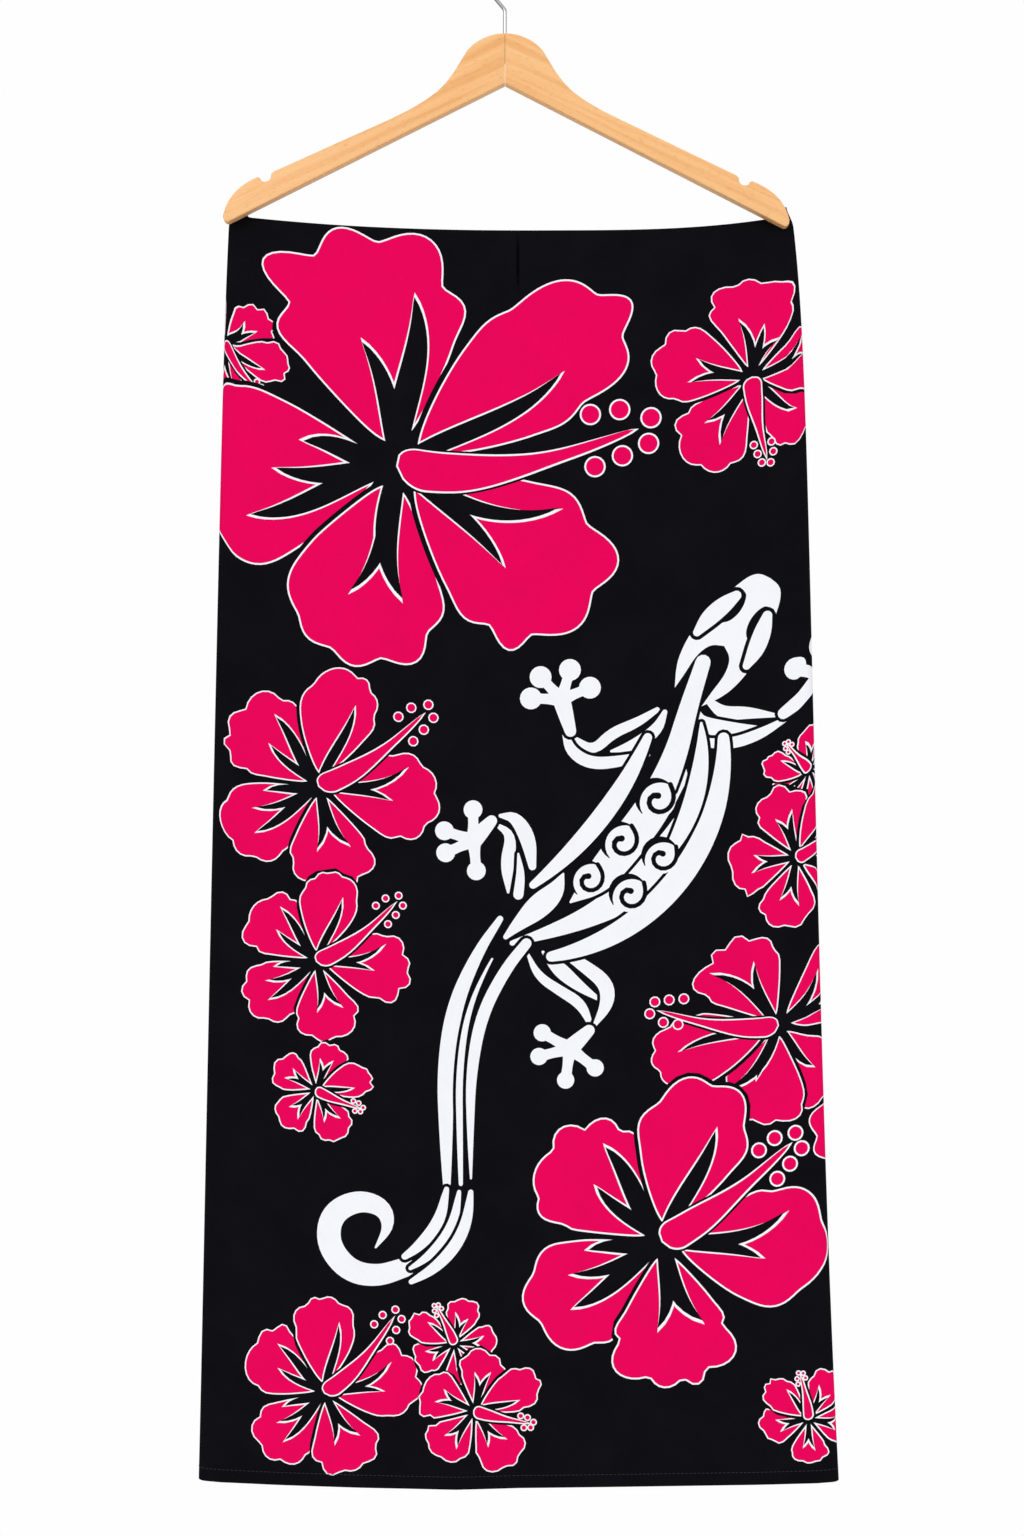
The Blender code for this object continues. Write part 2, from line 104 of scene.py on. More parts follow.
def arm_outline(reach, fall):
    """Half of the hanger seen from the front, from its dome round the tip to the apex below."""
    dome_radius = (DOME_HALF_WIDTH**2 + DOME_FALL**2) / (2 * DOME_FALL)
    start = math.acos(JOINT_HALF_GAP / dome_radius)
    end = math.acos(DOME_HALF_WIDTH / dome_radius)
    points = arc(1j * (DOME_TOP - dome_radius), dome_radius, start, end, ARC_STEPS)
    neck = np.array([complex(out, DOME_TOP - down) for out, down in NECK])
    run = np.linspace(0, len(neck) - 1, NECK_POINTS)
    at = np.arange(len(neck))
    points += list(np.interp(run, at, neck.real) + 1j * np.interp(run, at, neck.imag))

    def upper(out):
        share = (out - neck[-1].real) / (reach - neck[-1].real)
        return neck[-1].imag - (out - neck[-1].real) * UPPER_SLOPE - fall * share

    lip = upper(NOTCH_OUT)
    points += [complex(out, upper(out)) for out in (*UPPER_OUTS, NOTCH_OUT - LIP_EASE)]
    points.append(complex(NOTCH_OUT, lip) + LIP)
    floor = complex(NOTCH_OUT + NOTCH_IN + NOTCH_RADIUS, lip - NOTCH_DEPTH + NOTCH_RADIUS)
    points += arc(floor, NOTCH_RADIUS, math.pi, NOTCH_TURN, ARC_STEPS)
    points += [complex(SHOULDER_OUT, upper(SHOULDER_OUT)) + step for step in SHOULDER]
    heel = APEX - (reach - HEEL_IN) * UNDER_SLOPE - UNDER_FALL * fall
    leaves = points[-1]
    turn = complex(reach, leaves.imag) + NOSE_PULL
    nose = complex(reach, heel + NOSE_UP)
    points += [
        leaves * (1 - t) ** 2 + turn * 2 * t * (1 - t) + nose * t * t
        for t in np.linspace(0, 1, ARC_STEPS + 1)[1:]
    ]
    points += [complex(reach, heel) + step for step in HEEL]
    return points + [complex(JOINT_HALF_GAP, APEX)]


def in_scene(name, data):
    thing = bpy.data.objects.new(name, data)
    bpy.context.scene.collection.objects.link(thing)
    return thing


def new_piece(name, bm, finishes, sharp=None):
    """Puts a finished bmesh in the scene, riding on the one body."""
    mesh = bpy.data.meshes.new(name)
    bm.to_mesh(mesh)
    bm.free()
    mesh.shade_smooth()
    if sharp:
        mesh.set_sharp_from_angle(angle=math.radians(sharp))
    for finish in finishes:
        mesh.materials.append(finish)
    piece = in_scene(name, mesh)
    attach(piece, "root")
    return piece


def new_finish(name, colour, roughness, **sockets):
    """A material whose plain values sit on the shader's own sockets."""
    finish = bpy.data.materials.new(name)
    finish.use_nodes = True
    nodes, links = finish.node_tree.nodes, finish.node_tree.links
    shader = nodes["Principled BSDF"]
    shader.inputs["Base Color"].default_value = (*colour, 1)
    shader.inputs["Roughness"].default_value = roughness
    for socket, value in sockets.items():
        shader.inputs[socket.replace("_", " ")].default_value = value
    return finish, nodes, links, shader


def add_node(nodes, kind, **values):
    """A node with its settings and its sockets filled in by name."""
    node = nodes.new(kind)
    for key, value in values.items():
        if hasattr(node, key):
            setattr(node, key, value)
        else:
            node.inputs[key.replace("_", " ")].default_value = value
    return node


def ramp(nodes, *stops):
    """A colour ramp from (place, colour) stops."""
    node = nodes.new("ShaderNodeValToRGB")
    bands = node.color_ramp.elements
    while len(bands) < len(stops):
        bands.new(0.5)
    for band, (place, colour) in zip(bands, stops):
        band.position = place
        band.color = (*colour, 1)
    return node


def noise(nodes, links, where, scale, detail, **values):
    """A noise read at where, as a grey."""
    texture = add_node(nodes, "ShaderNodeTexNoise", Scale=scale, Detail=detail, **values)
    links.new(where, texture.inputs["Vector"])
    return texture.outputs["Fac"]


def toned(nodes, links, fac, *stops):
    """The colour that a ramp gives to a grey."""
    tone = ramp(nodes, *stops)
    links.new(fac, tone.inputs["Fac"])
    return tone.outputs["Color"]


def raise_grain(nodes, links, shader, height, strength, distance):
    """Lets a grey raise the face a little, as grain, wear or weave does."""
    bump = add_node(nodes, "ShaderNodeBump", Strength=strength, Distance=distance)
    links.new(height, bump.inputs["Height"])
    links.new(bump.outputs["Normal"], shader.inputs["Normal"])


# the grain's slope along the arm, and the length and width of its streaks and of the flecks
GRAIN_RISE = math.radians(25.4)
GRAIN = (0.16, 0.0065)
FLECK = (0.0060, 0.00055)
BEECH_TONES = (
    (0.30, (0.83, 0.400, 0.133)),
    (0.50, (0.92, 0.495, 0.200)),
    (0.72, (0.95, 0.570, 0.258)),
)
FLECK_TONES = ((0.60, (1, 1, 1)), (0.72, (0.80, 0.70, 0.60)))


def beech(name, side):
    """Straight-grained beech with short dark flecks, its grain along the arm."""
    lacquer = {"Coat_Weight": 0.18, "Coat_Roughness": 0.22, "Specular_IOR_Level": 0.35}
    finish, nodes, links, shader = new_finish(name, (0.87, 0.49, 0.21), 0.42, **lacquer)
    where = add_node(nodes, "ShaderNodeTexCoord").outputs["Object"]

    def along(length, width):
        lay = add_node(nodes, "ShaderNodeMapping", vector_type="TEXTURE")
        lay.inputs["Rotation"].default_value = (0, side * GRAIN_RISE, 0)
        lay.inputs["Scale"].default_value = (length, width, width)
        links.new(where, lay.inputs["Vector"])
        return lay.outputs["Vector"]

    grain = noise(nodes, links, along(*GRAIN), 1.0, 5.0, Roughness=0.6, Distortion=0.4)
    fleck = noise(nodes, links, along(*FLECK), 1.0, 2.0, Roughness=0.5)
    mix = add_node(nodes, "ShaderNodeMix", data_type="RGBA", blend_type="MULTIPLY")
    mix.inputs["Factor"].default_value = 1.0
    links.new(toned(nodes, links, grain, *BEECH_TONES), mix.inputs["A"])
    links.new(toned(nodes, links, fleck, *FLECK_TONES), mix.inputs["B"])
    links.new(mix.outputs["Result"], shader.inputs["Base Color"])
    raise_grain(nodes, links, shader, fleck, 0.12, 0.0002)
    return finish


for node, side, reach, fall in ARMS:
    bm = bmesh.new()
    outline = arm_outline(reach, fall)
    corners = [bm.verts.new((side * p.real, -ARM_HALF_THICK, p.imag)) for p in outline]
    face = bm.faces.new(corners)
    swept = bmesh.ops.extrude_face_region(bm, geom=[face])["geom"]
    moved = [v for v in swept if isinstance(v, bmesh.types.BMVert)]
    bmesh.ops.translate(bm, verts=moved, vec=(0, 2 * ARM_HALF_THICK, 0))
    bmesh.ops.recalc_face_normals(bm, faces=bm.faces)
    rims = [
        e
        for e in bm.edges
        if abs(e.verts[0].co.y - e.verts[1].co.y) < ARM_ROUND
        and max(abs(v.co.x) for v in e.verts) > 2 * JOINT_HALF_GAP
    ]
    bmesh.ops.bevel(
        bm,
        geom=rims,
        offset=ARM_ROUND,
        segments=5,
        profile=0.5,
        affect="EDGES",
        clamp_overlap=True,
        material=-1,
    )
    arm = new_piece("wood_" + node, bm, [beech("beech_" + node, side)], sharp=40)
    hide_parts(node)


# The hook. Bright plated steel wire, bent cold: a straight shank out of the wood, a small jog to
# the left, and the loop that hangs on a rail.
WIRE_RADIUS = 0.0016
LOOP_RADIUS = 0.0176
LOOP_END = math.radians(-28)
JOG_ANGLE = math.radians(40)
JOG_RADIUS = 0.0045
SHANK_FOOT = -0.0851
# The wire's rounded end. columns: wire radii past the last point, share of the radius
WIRE_END = ((0.34, 0.94), (0.63, 0.78), (0.87, 0.5))

loop_middle = -1j * (LOOP_RADIUS - WIRE_RADIUS)
join = loop_middle + LOOP_RADIUS * complex(-math.cos(JOG_ANGLE), -math.sin(JOG_ANGLE))
jog_run = (-join.real - JOG_RADIUS * (1 - math.cos(JOG_ANGLE))) / math.sin(JOG_ANGLE)
jog_z = join.imag - jog_run * math.cos(JOG_ANGLE) - JOG_RADIUS * math.sin(JOG_ANGLE)
route = list(np.linspace(1j * SHANK_FOOT, 1j * jog_z, 8)[:-1])
route += arc(complex(-JOG_RADIUS, jog_z), JOG_RADIUS, 0, JOG_ANGLE, 8)
route += list(np.linspace(route[-1], join, 5)[1:-1])
route += arc(loop_middle, LOOP_RADIUS, math.pi + JOG_ANGLE, LOOP_END, 60)
ahead = (route[-1] - route[-2]) / abs(route[-1] - route[-2])
sizes = [1.0] * len(route) + [size for _, size in WIRE_END]
route += [route[-1] + ahead * WIRE_RADIUS * step for step, _ in WIRE_END]
wire = bpy.data.curves.new("hook_wire", "CURVE")
wire.dimensions = "3D"
wire.bevel_depth = WIRE_RADIUS
wire.bevel_resolution = 6
wire.use_fill_caps = True
spline = wire.splines.new("POLY")
spline.points.add(len(route) - 1)
for point, at, size in zip(spline.points, route, sizes):
    point.co = (at.real, 0, at.imag, 1)
    point.radius = size
spline.use_smooth = True
hook = in_scene("hook_wire", wire)
plate, nodes, links, shader = new_finish("bright_plate", (0.50, 0.50, 0.52), 0.14, Metallic=1.0)
where = add_node(nodes, "ShaderNodeTexCoord").outputs["Object"]
drawn = noise(nodes, links, where, 900.0, 3.0)
wear = toned(nodes, links, drawn, (0.35, (0.10, 0.10, 0.10)), (0.75, (0.24, 0.24, 0.24)))
links.new(wear, shader.inputs["Roughness"])
raise_grain(nodes, links, shader, drawn, 0.08, 0.0001)
wire.materials.append(plate)
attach(hook, "root")
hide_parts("hook")


# The cloth. One length of plain-woven cotton, dyed black and printed pink and white, sewn into a
# tube with a lapped seam down the back. Its top corners hang behind the arms' tips.
MM = 0.001
TOP = -0.2153
DROP = 0.9876
MID_Y = 0.0082
EDGE_FLAT = 0.0005
CLOTH_THICK = 0.00035
SEAM_LAP = 0.0080
SEAM_STEP = 0.00055
SEAM_EASE_IN = 0.002
SEAM_EASE = 0.003
HEM_TURN = 0.00045
HEM_HEIGHT = 0.0112
# Half the width: at the top, more where it leaves the arms, less at the corners, more at the foot.
TOP_HALF = 0.2206
WIDENS = 0.0055
WIDENS_OVER = 0.07
CORNER_IN = 0.0035
CORNER_DROP = 0.0154
TAPER = 0.0230
FOOT_FLARE = 0.0026
# The side folds' radius: at the top, and how it grows.
TIGHT_FOLD = 0.0014
FOLD_OPENS = 0.0048
FOLD_OPENS_OVER = 0.13
# How far it hangs to the right of the hook: at the top, more below the arms, more at the foot.
TOP_LEAN = 0.0042
LEAN_MORE = 0.0030
FOOT_LEAN = 0.0036
# The top edge sags from the middle out to the sides, by a power on the left and one on the right.
TOP_SAG = 0.0120
SAG_POWERS = (2.0, 3.3)
CORNER_PULL = 0.0070
CORNER_SHARE = 0.06
# The tuck at the top of the front: where it is, and its ridge and furrow.
TUCK_X = 0.0101
TUCK_DOWN = 0.026
TUCK_HALF = 0.019
RIDGE = 0.0012
RIDGE_HALF = 0.0045
FURROW = 0.0036
FURROW_HALF = 0.0009
# How much of the half width the belly takes to rise, and how far the folds keep off the sides.
BELLY_SHARE = 0.95
FLAT_EDGE = 0.1
# columns: place across from -1 to 1, rise of the hem edge
HEM_RISE = np.array(
    (
        (-1.00, 0.0070),
        (-0.93, 0.0054),
        (-0.75, 0.0034),
        (-0.50, 0.0015),
        (-0.20, 0.0000),
        (0.00, 0.0016),
        (0.40, 0.0026),
        (0.75, 0.0035),
        (0.93, 0.0046),
        (1.00, 0.0060),
    )
)
# columns: drop from 0 to 1, how far the front stands off the side folds, and the back
BELLY = np.array(
    (
        (0.00, 0.0030, 0.0080),
        (0.15, 0.0022, 0.0110),
        (0.50, 0.0024, 0.0105),
        (0.80, 0.0030, 0.0085),
        (1.00, 0.0026, 0.0095),
    )
)
# columns: place across, depth, half width, drop where deepest, half length
FRONT_FOLDS = (
    (-0.62, 0.0012, 0.030, 0.22, 0.20),
    (0.07, 0.0011, 0.016, 0.14, 0.12),
    (0.55, 0.0010, 0.035, 0.30, 0.25),
    (-0.30, 0.0010, 0.040, 0.85, 0.22),
)
BACK_FOLDS = (
    (-0.45, 0.0030, 0.030, 0.10, 0.30),
    (0.08, 0.0045, 0.034, 0.16, 0.42),
    (0.52, 0.0026, 0.026, 0.08, 0.24),
    (-0.15, 0.0018, 0.045, 0.80, 0.26),
)
# Fine creases, in millimetres on the flat cloth: around, down, half length, heading in degrees,
# depth (in is plus), half width.
CREASES = (
    (12, 128, 60, 91, 0.45, 3.5),
    (5, 70, 34, 84, 0.40, 3.0),
    (24, 96, 40, 97, -0.35, 4.0),
    (-92, 120, 46, 99, 0.35, 4.5),
    (-66, 92, 30, 112, 0.30, 3.5),
    (-150, 36, 44, 158, -0.40, 5.0),
    (-176, 72, 40, 141, 0.35, 4.5),
    (-196, 120, 46, 112, 0.40, 5.0),
    (160, 30, 42, 22, -0.40, 5.0),
    (186, 64, 36, 41, 0.35, 4.0),
    (203, 118, 48, 70, 0.40, 5.0),
    (96, 150, 60, 82, 0.30, 5.5),
    (60, 62, 38, 63, 0.28, 4.0),
    (140, 250, 70, 86, 0.30, 6.0),
    (-128, 300, 80, 94, 0.28, 6.0),
    (-30, 420, 90, 88, 0.25, 6.5),
    (120, 610, 70, 97, 0.28, 5.5),
    (-160, 640, 90, 91, 0.30, 6.0),
    (30, 780, 84, 85, 0.28, 6.0),
    (-96, 860, 60, 95, 0.30, 5.0),
    (170, 880, 66, 88, 0.32, 5.5),
    (64, 930, 40, 78, 0.25, 4.0),
    (340, 60, 50, 76, 0.55, 5.0),
    (390, 150, 80, 93, 0.60, 6.0),
    (300, 90, 46, 58, -0.45, 5.0),
    (-330, 80, 56, 104, 0.55, 5.5),
    (-410, 170, 90, 88, 0.55, 6.5),
    (-290, 60, 44, 128, -0.45, 5.0),
    (360, 420, 90, 96, 0.45, 7.0),
    (-370, 520, 100, 84, 0.45, 7.0),
    (310, 700, 80, 88, 0.40, 6.0),
    (-300, 820, 76, 93, 0.40, 6.0),
    (430, 860, 60, 99, 0.40, 5.0),
)


def soft_step(value):
    """From 0 to 1 with no corner at either end."""
    t = np.clip(value, 0, 1)
    return t * t * (3 - 2 * t)


def half_width(drop):
    """Half the flattened tube's width. Drop runs from 0 at the top to 1 at the foot."""
    release = WIDENS * (1 - np.exp(-drop / WIDENS_OVER))
    corner = CORNER_IN * (1 - soft_step(drop / CORNER_DROP))
    return TOP_HALF + release - corner + TAPER * drop + FOOT_FLARE * drop**6


def fold_radius(drop):
    return TIGHT_FOLD + FOLD_OPENS * soft_step(drop / FOLD_OPENS_OVER)


def lean(drop):
    """How far the cloth hangs to the right of the hook."""
    return TOP_LEAN + LEAN_MORE * (1 - np.exp(-drop / WIDENS_OVER)) + FOOT_LEAN * drop**4


def half_girth(drop):
    """From the front's centre line round to the back's."""
    radius = fold_radius(drop)
    return 2 * (half_width(drop) - radius + radius * math.pi / 2 + EDGE_FLAT)


def world_height(across, drop):
    """Height between the sagging top edge and the hem. Across runs from -1 to 1."""
    power = np.where(across < 0, *SAG_POWERS)
    pull = soft_step((abs(across) - (1 - CORNER_SHARE)) / CORNER_SHARE)
    top = TOP + TOP_SAG * abs(across) ** power + CORNER_PULL * pull
    foot = TOP - DROP + np.interp(across, HEM_RISE[:, 0], HEM_RISE[:, 1])
    return top + (foot - top) * drop


def drawn_in(folds, x, drop):
    """How far long soft folds draw the cloth in."""
    into = 0.0
    for place, depth, half, deepest, length in folds:
        beside = (x - place * half_width(drop)) / half
        into = into + depth * np.exp(-(beside**2) - ((drop - deepest) / length) ** 2)
    return into


def tuck(x, down):
    """The tuck at the top of the front: a soft ridge with a narrow furrow on its right."""
    along = np.exp(-(((down - TUCK_DOWN) / TUCK_HALF) ** 4))
    ridge = RIDGE * np.exp(-(((x - TUCK_X + RIDGE_HALF) / RIDGE_HALF) ** 2))
    furrow = FURROW * np.exp(-(((x - TUCK_X) / FURROW_HALF) ** 2))
    return along * (ridge - furrow)


def creased(around, down):
    """How far the fine creases draw it in."""
    into = 0.0
    for q, d, length, heading, depth, width in CREASES:
        out = (around / MM - q) + 1j * (d - down / MM)
        lay = out * np.exp(-1j * math.radians(heading))
        into = into + depth * MM * np.exp(-((lay.real / length) ** 4) - (lay.imag / width) ** 2)
    return into


def on_tube(around, down, proud=0.0):
    """World places of points of the flat cloth, around from the front's centre line and down from
    the top edge. What runs past the foot turns up inside, as the hem does."""
    around, down = np.asarray(around, float), np.asarray(down, float)
    past = np.maximum(down - (DROP - HEM_TURN), 0)
    turn = np.minimum(past / HEM_TURN, math.pi)
    up = np.maximum(past - math.pi * HEM_TURN, 0)
    low = np.minimum(down, DROP - HEM_TURN) + (HEM_TURN + proud) * np.sin(turn) - up
    drop = low / DROP
    proud = (HEM_TURN + proud) * np.cos(turn) - HEM_TURN
    past_seam = (around - half_girth(drop) + SEAM_EASE_IN) / SEAM_EASE
    proud = proud + SEAM_STEP * soft_step(past_seam)

    half, radius = half_width(drop), fold_radius(drop)
    flat, bend = half - radius, radius * math.pi / 2
    front = abs(around) <= flat + bend + EDGE_FLAT
    reach = np.where(front, abs(around), 2 * (flat + bend + EDGE_FLAT) - abs(around))
    round_off = np.clip((reach - flat) / bend, 0, 1) * math.pi / 2
    straight = np.clip(reach - flat - bend, 0, EDGE_FLAT)
    x = np.where(reach <= flat, reach, flat + (radius + proud) * np.sin(round_off))
    off = EDGE_FLAT + (radius + proud) * np.cos(round_off) - straight
    x = x * np.sign(around)
    across = x / half
    rise = soft_step((1 - abs(reach) / flat) / BELLY_SHARE)
    off = off + rise * np.where(
        front,
        np.interp(drop, BELLY[:, 0], BELLY[:, 1]),
        np.interp(drop, BELLY[:, 0], BELLY[:, 2]),
    )
    flatness = soft_step((1 - abs(across)) / FLAT_EDGE)
    into = np.where(front, drawn_in(FRONT_FOLDS, x, drop), drawn_in(BACK_FOLDS, x, drop))
    x = x + lean(drop)
    off = off - flatness * (into + creased(around, down))
    off = off + np.where(front, tuck(x, low), 0)
    y = MID_Y + np.where(front, -1, 1) * off
    return np.stack((x, y, world_height(across, drop)), axis=-1)


# The print. Inks printed on the flat cotton before it is sewn: open blooms outlined in white with
# a long stamen each, and a white lizard in tapered strokes. No operator draws such outlines, so
# they are reckoned here, in millimetres on the flat cloth, with headings in degrees.
BLACK, PINK, WHITE, WRONG_SIDE = range(4)
# the white line round a petal, the black rim round that, and what may be left out of an outline
LINE = 1.35
RIM = 1.6
SLIGHT_BEND = 0.07
LONGEST_STEP = 4.5
# A petal's form, in shares of its length where it isn't a power or an angle.
PETAL_FOOT = 0.09
PETAL_FULL = 1.45
PETAL_WEDGE = 0.80
PETAL_MIDDLE = 0.60
FRILL_FROM = 0.36
FRILL_OVER = 0.3
LOBES_FROM = 0.38 * math.pi
LOBES_OVER = 1.24 * math.pi
LOBE_WIDTHS = (0.55, 1.45)
LOBE_DEPTHS = (0.35, 1.0)
PETAL_BOW = 0.09
GREAT_LOBE = 1.5
SMALL_LOBE = 0.85
GRAND_LENGTH = 120
POINTS_A_MM = 0.66
SLIT_STEP = 6.5
# A stamen's form: the share of its round foot, and where, over how much and by how much it narrows.
STAMEN_FOOT = 0.1
NARROWS_FROM = 0.22
NARROWS_OVER = 0.5
NARROWS_BY = 0.55
# A bloom's finer parts when it is small, beside those of a great one, and its hub's share.
SMALL_LINE = 0.75
SMALL_SLIT = 0.82
GREAT_BLOOM = 100
GREAT_HUB = 0.085
SMALL_HUB = 0.070
LEAST_POLLEN = 2.1
shapes = []


def paint(ink, outline, within=None):
    """Lays a closed outline of complex points, around and up, over what is there."""
    shapes.append((ink, slim(counter_clockwise(outline)), within))


def slim(outline):
    """The outline without the points where it hardly bends."""
    for _ in range(2):
        before, after = np.roll(outline, 1), np.roll(outline, -1)
        way = after - before
        off = abs(((outline - before) * way.conj()).imag) / abs(way)
        spare = (off < SLIGHT_BEND) & (abs(way) < LONGEST_STEP)
        spare[::2] = False
        outline = outline[~spare]
    return outline


def counter_clockwise(outline):
    """The outline, turned round where it runs clockwise."""
    outline = np.asarray(outline)
    following = np.roll(outline, -1)
    area = np.sum(outline.real * following.imag - following.real * outline.imag)
    return outline if area > 0 else outline[::-1]


def circle(middle, radius, steps):
    return middle + radius * np.exp(2j * math.pi * np.arange(steps) / steps)


def dot(middle, radius, ink, within=None):
    paint(ink, circle(middle, radius, max(10, round(radius * 2.4))), within)


def petal(length, half, frill, lobes, bow, chance):
    """A petal's outline along the real axis: a narrow base, and a broad end of uneven lobes."""
    steps = max(32, round(length * POINTS_A_MM))
    turn = 2 * math.pi * (np.arange(steps) + 0.5) / steps
    t = (1 - np.cos(turn)) / 2
    along = length * (PETAL_FOOT + (1 - PETAL_FOOT) * t)
    broad = half * np.sin(math.pi * t**PETAL_FULL) ** 0.5
    # a soft choice of the narrower: the petal's own breadth, or the wedge its neighbours leave it
    wedge = PETAL_WEDGE * along - RIM
    broad = (np.maximum(broad, 0.01) ** -5 + np.maximum(wedge, 0.01) ** -5) ** -0.2
    outline = along + 1j * broad * np.sign(np.sin(turn))
    ends = np.cumsum([chance.uniform(*LOBE_WIDTHS) for _ in range(lobes)])
    ends = np.concatenate(([0], ends / ends[-1])) * LOBES_OVER + LOBES_FROM
    lobe = np.clip(np.searchsorted(ends, turn) - 1, 0, lobes - 1)
    share = np.clip((turn - ends[lobe]) / np.diff(ends)[lobe], 0, 1)
    depth = np.array([chance.uniform(*LOBE_DEPTHS) for _ in range(lobes)])[lobe]
    pointed = GREAT_LOBE if length > GRAND_LENGTH else SMALL_LOBE
    swell = depth * np.sin(math.pi * share) ** pointed - 0.5
    middle = length * PETAL_MIDDLE
    frilled = 1 + frill * swell * soft_step((t - FRILL_FROM) / FRILL_OVER)
    outline = middle + (outline - middle) * frilled
    return counter_clockwise(outline * np.exp(1j * bow * (outline.real / length) ** 2))


def inset(outline, by):
    """A counter-clockwise outline moved in, or out where by is minus."""
    ahead = np.roll(outline, -1) - np.roll(outline, 1)
    return outline + 1j * by * ahead / abs(ahead)


def flame(length, half, aside, bow):
    """A bent pointed slit that leaves the real axis for its own heading, aside in radians."""
    t = np.linspace(0, 1, max(8, round(length / SLIT_STEP)) + 1)
    broad = half * (1 - t) ** 0.8 * (0.62 + 1.9 * t)
    outline = np.concatenate((t + 1j * broad / length, (t - 1j * broad / length)[-2::-1]))
    share = np.clip(outline.real, 0, 1)
    turned = aside * share**0.6 + 1.7 * bow * (share**2 - share)
    return length * outline * np.exp(1j * turned)


# The pollen dots: how far along and aside of the stamen's tip, in shares of its length.
POLLEN = (
    (0.075, 0.036),
    (0.048, -0.068),
    (-0.048, 0.092),
    (-0.068, -0.100),
    (-0.172, 0.092),
    (-0.188, -0.126),
)


def stamen(at, heading, length, half, bow, pollen, line):
    """The long stamen, round at its foot and pointed at its tip, and the dots round the tip."""
    turned = np.exp(1j * math.radians(heading))
    beyond = np.linspace(STAMEN_FOOT, 1, max(9, round(length / 6)))
    t = np.concatenate((np.linspace(0, STAMEN_FOOT, 7)[:-1], beyond))
    foot = t / STAMEN_FOOT
    taper = np.where(t < STAMEN_FOOT, np.sqrt(np.clip(foot * (2 - foot), 0, 1)), 1)
    narrowed = 1 - NARROWS_BY * soft_step((t - NARROWS_FROM) / NARROWS_OVER)
    taper = taper * (1 - t) ** 0.45 * narrowed

    def tongue(more):
        bent = 1j * bow * length * (t**2 - t) * (1.1 - 0.5 * t)
        spine = -more + (length + 3.5 * more) * t + bent
        broad = half * taper + more * np.sqrt(np.clip(foot, 0, 1)) * (1 - t**6)
        outline = np.concatenate((spine + 1j * broad, (spine - 1j * broad)[-2:0:-1]))
        return at + outline * turned

    paint(BLACK, tongue(line + RIM))
    paint(WHITE, tongue(line))
    paint(PINK, tongue(0))
    for along, aside in POLLEN[: 6 if pollen > 3 else 5]:
        spot = at + length * complex(1 + along, aside) * turned
        dot(spot, pollen, WHITE)
        dot(spot, max(pollen - line, pollen * 0.5), PINK)


def bloom(at, rows, spike, size=1.0, turn=0.0):
    """A bloom of petals, each with its slits, and then the stamen over them."""
    at = complex(at[0], -at[1])
    chance = random.Random(round(abs(at) * 10))
    grand = size * rows[0][1] > GREAT_BLOOM
    line = LINE if grand else SMALL_LINE * LINE
    hub = size * rows[0][1] * (GREAT_HUB if grand else SMALL_HUB)
    for heading, length, half, frill, slits in rows:
        way = np.exp(1j * math.radians(heading + turn))
        lobes = chance.choice((4, 5) if size * length > GRAND_LENGTH else (5, 6))
        bow = chance.uniform(-PETAL_BOW, PETAL_BOW)
        shape = at + petal(size * length, size * half, frill, lobes, bow, chance) * way
        around = inset(shape, -RIM - 0.012 * size * length)[::2]
        paint(BLACK, around)
        paint(WHITE, shape)
        paint(PINK, inset(shape, line))
        cuts = []
        for to, reach, broad, bow in slits:
            aside = math.radians((to - heading + 180) % 360 - 180)
            broad = size * broad * (1 if grand else SMALL_SLIT)
            cuts.append((size * reach, broad, aside, bow))
        dot(at, hub + line, WHITE, shape)
        for reach, broad, aside, bow in cuts:
            edging = flame(reach + 2.6 * line, broad + line, aside, bow)
            paint(WHITE, at + edging * way, shape)
        dot(at, hub, BLACK, around)
        for reach, broad, aside, bow in cuts:
            paint(BLACK, at + flame(reach, broad, aside, bow) * way, around)
    dot(at, hub * 0.9, BLACK)
    heading, length, half, bow, pollen = spike
    pollen = max(LEAST_POLLEN, size * pollen)
    stamen(at, heading + turn, size * length, size * half, bow, pollen, line)


# columns: heading, length, half width, frill, slits as (heading, length, half width, bow)
GREAT = (
    (187, 170, 74, 0.12, ((168, 76, 9.0, 0.35), (184, 96, 8.0, -0.20), (201, 124, 9.0, -0.28))),
    (256, 162, 66, 0.20, ((272, 104, 10.0, 0.26), (249, 106, 7.0, -0.30))),
    (-37, 192, 66, 0.24, ((-14, 130, 7.0, 0.26), (-43, 112, 7.0, -0.14))),
    (98, 192, 78, 0.34, ((106, 100, 8.5, 0.20), (84, 134, 11.5, 0.30))),
    (37, 222, 52, 0.20, ((30, 148, 8.0, 0.24),)),
)
GREAT_STAMEN = (9, 188, 16.5, 0.34, 8.4)
BROAD = (
    (213, 86, 33, 0.20, ((188, 42, 4.6, 0.3), (201, 54, 4.0, -0.2), (218, 62, 5.6, -0.2))),
    (-82, 82, 35, 0.26, ((-62, 50, 5.6, 0.25), (-92, 49, 4.8, -0.25))),
    (-4, 95, 36, 0.22, ((14, 70, 4.4, 0.25), (-9, 56, 4.4, -0.15))),
    (139, 84, 37, 0.24, ((123, 62, 6.0, 0.25), (142, 48, 4.4, -0.2))),
    (77, 95, 31, 0.20, ((66, 68, 5.2, 0.22),)),
)
BROAD_STAMEN = (36, 101, 8.4, 0.26, 4.2)
SHORT_STAMEN = (38, 88, 8.8, 0.16, 4.5)
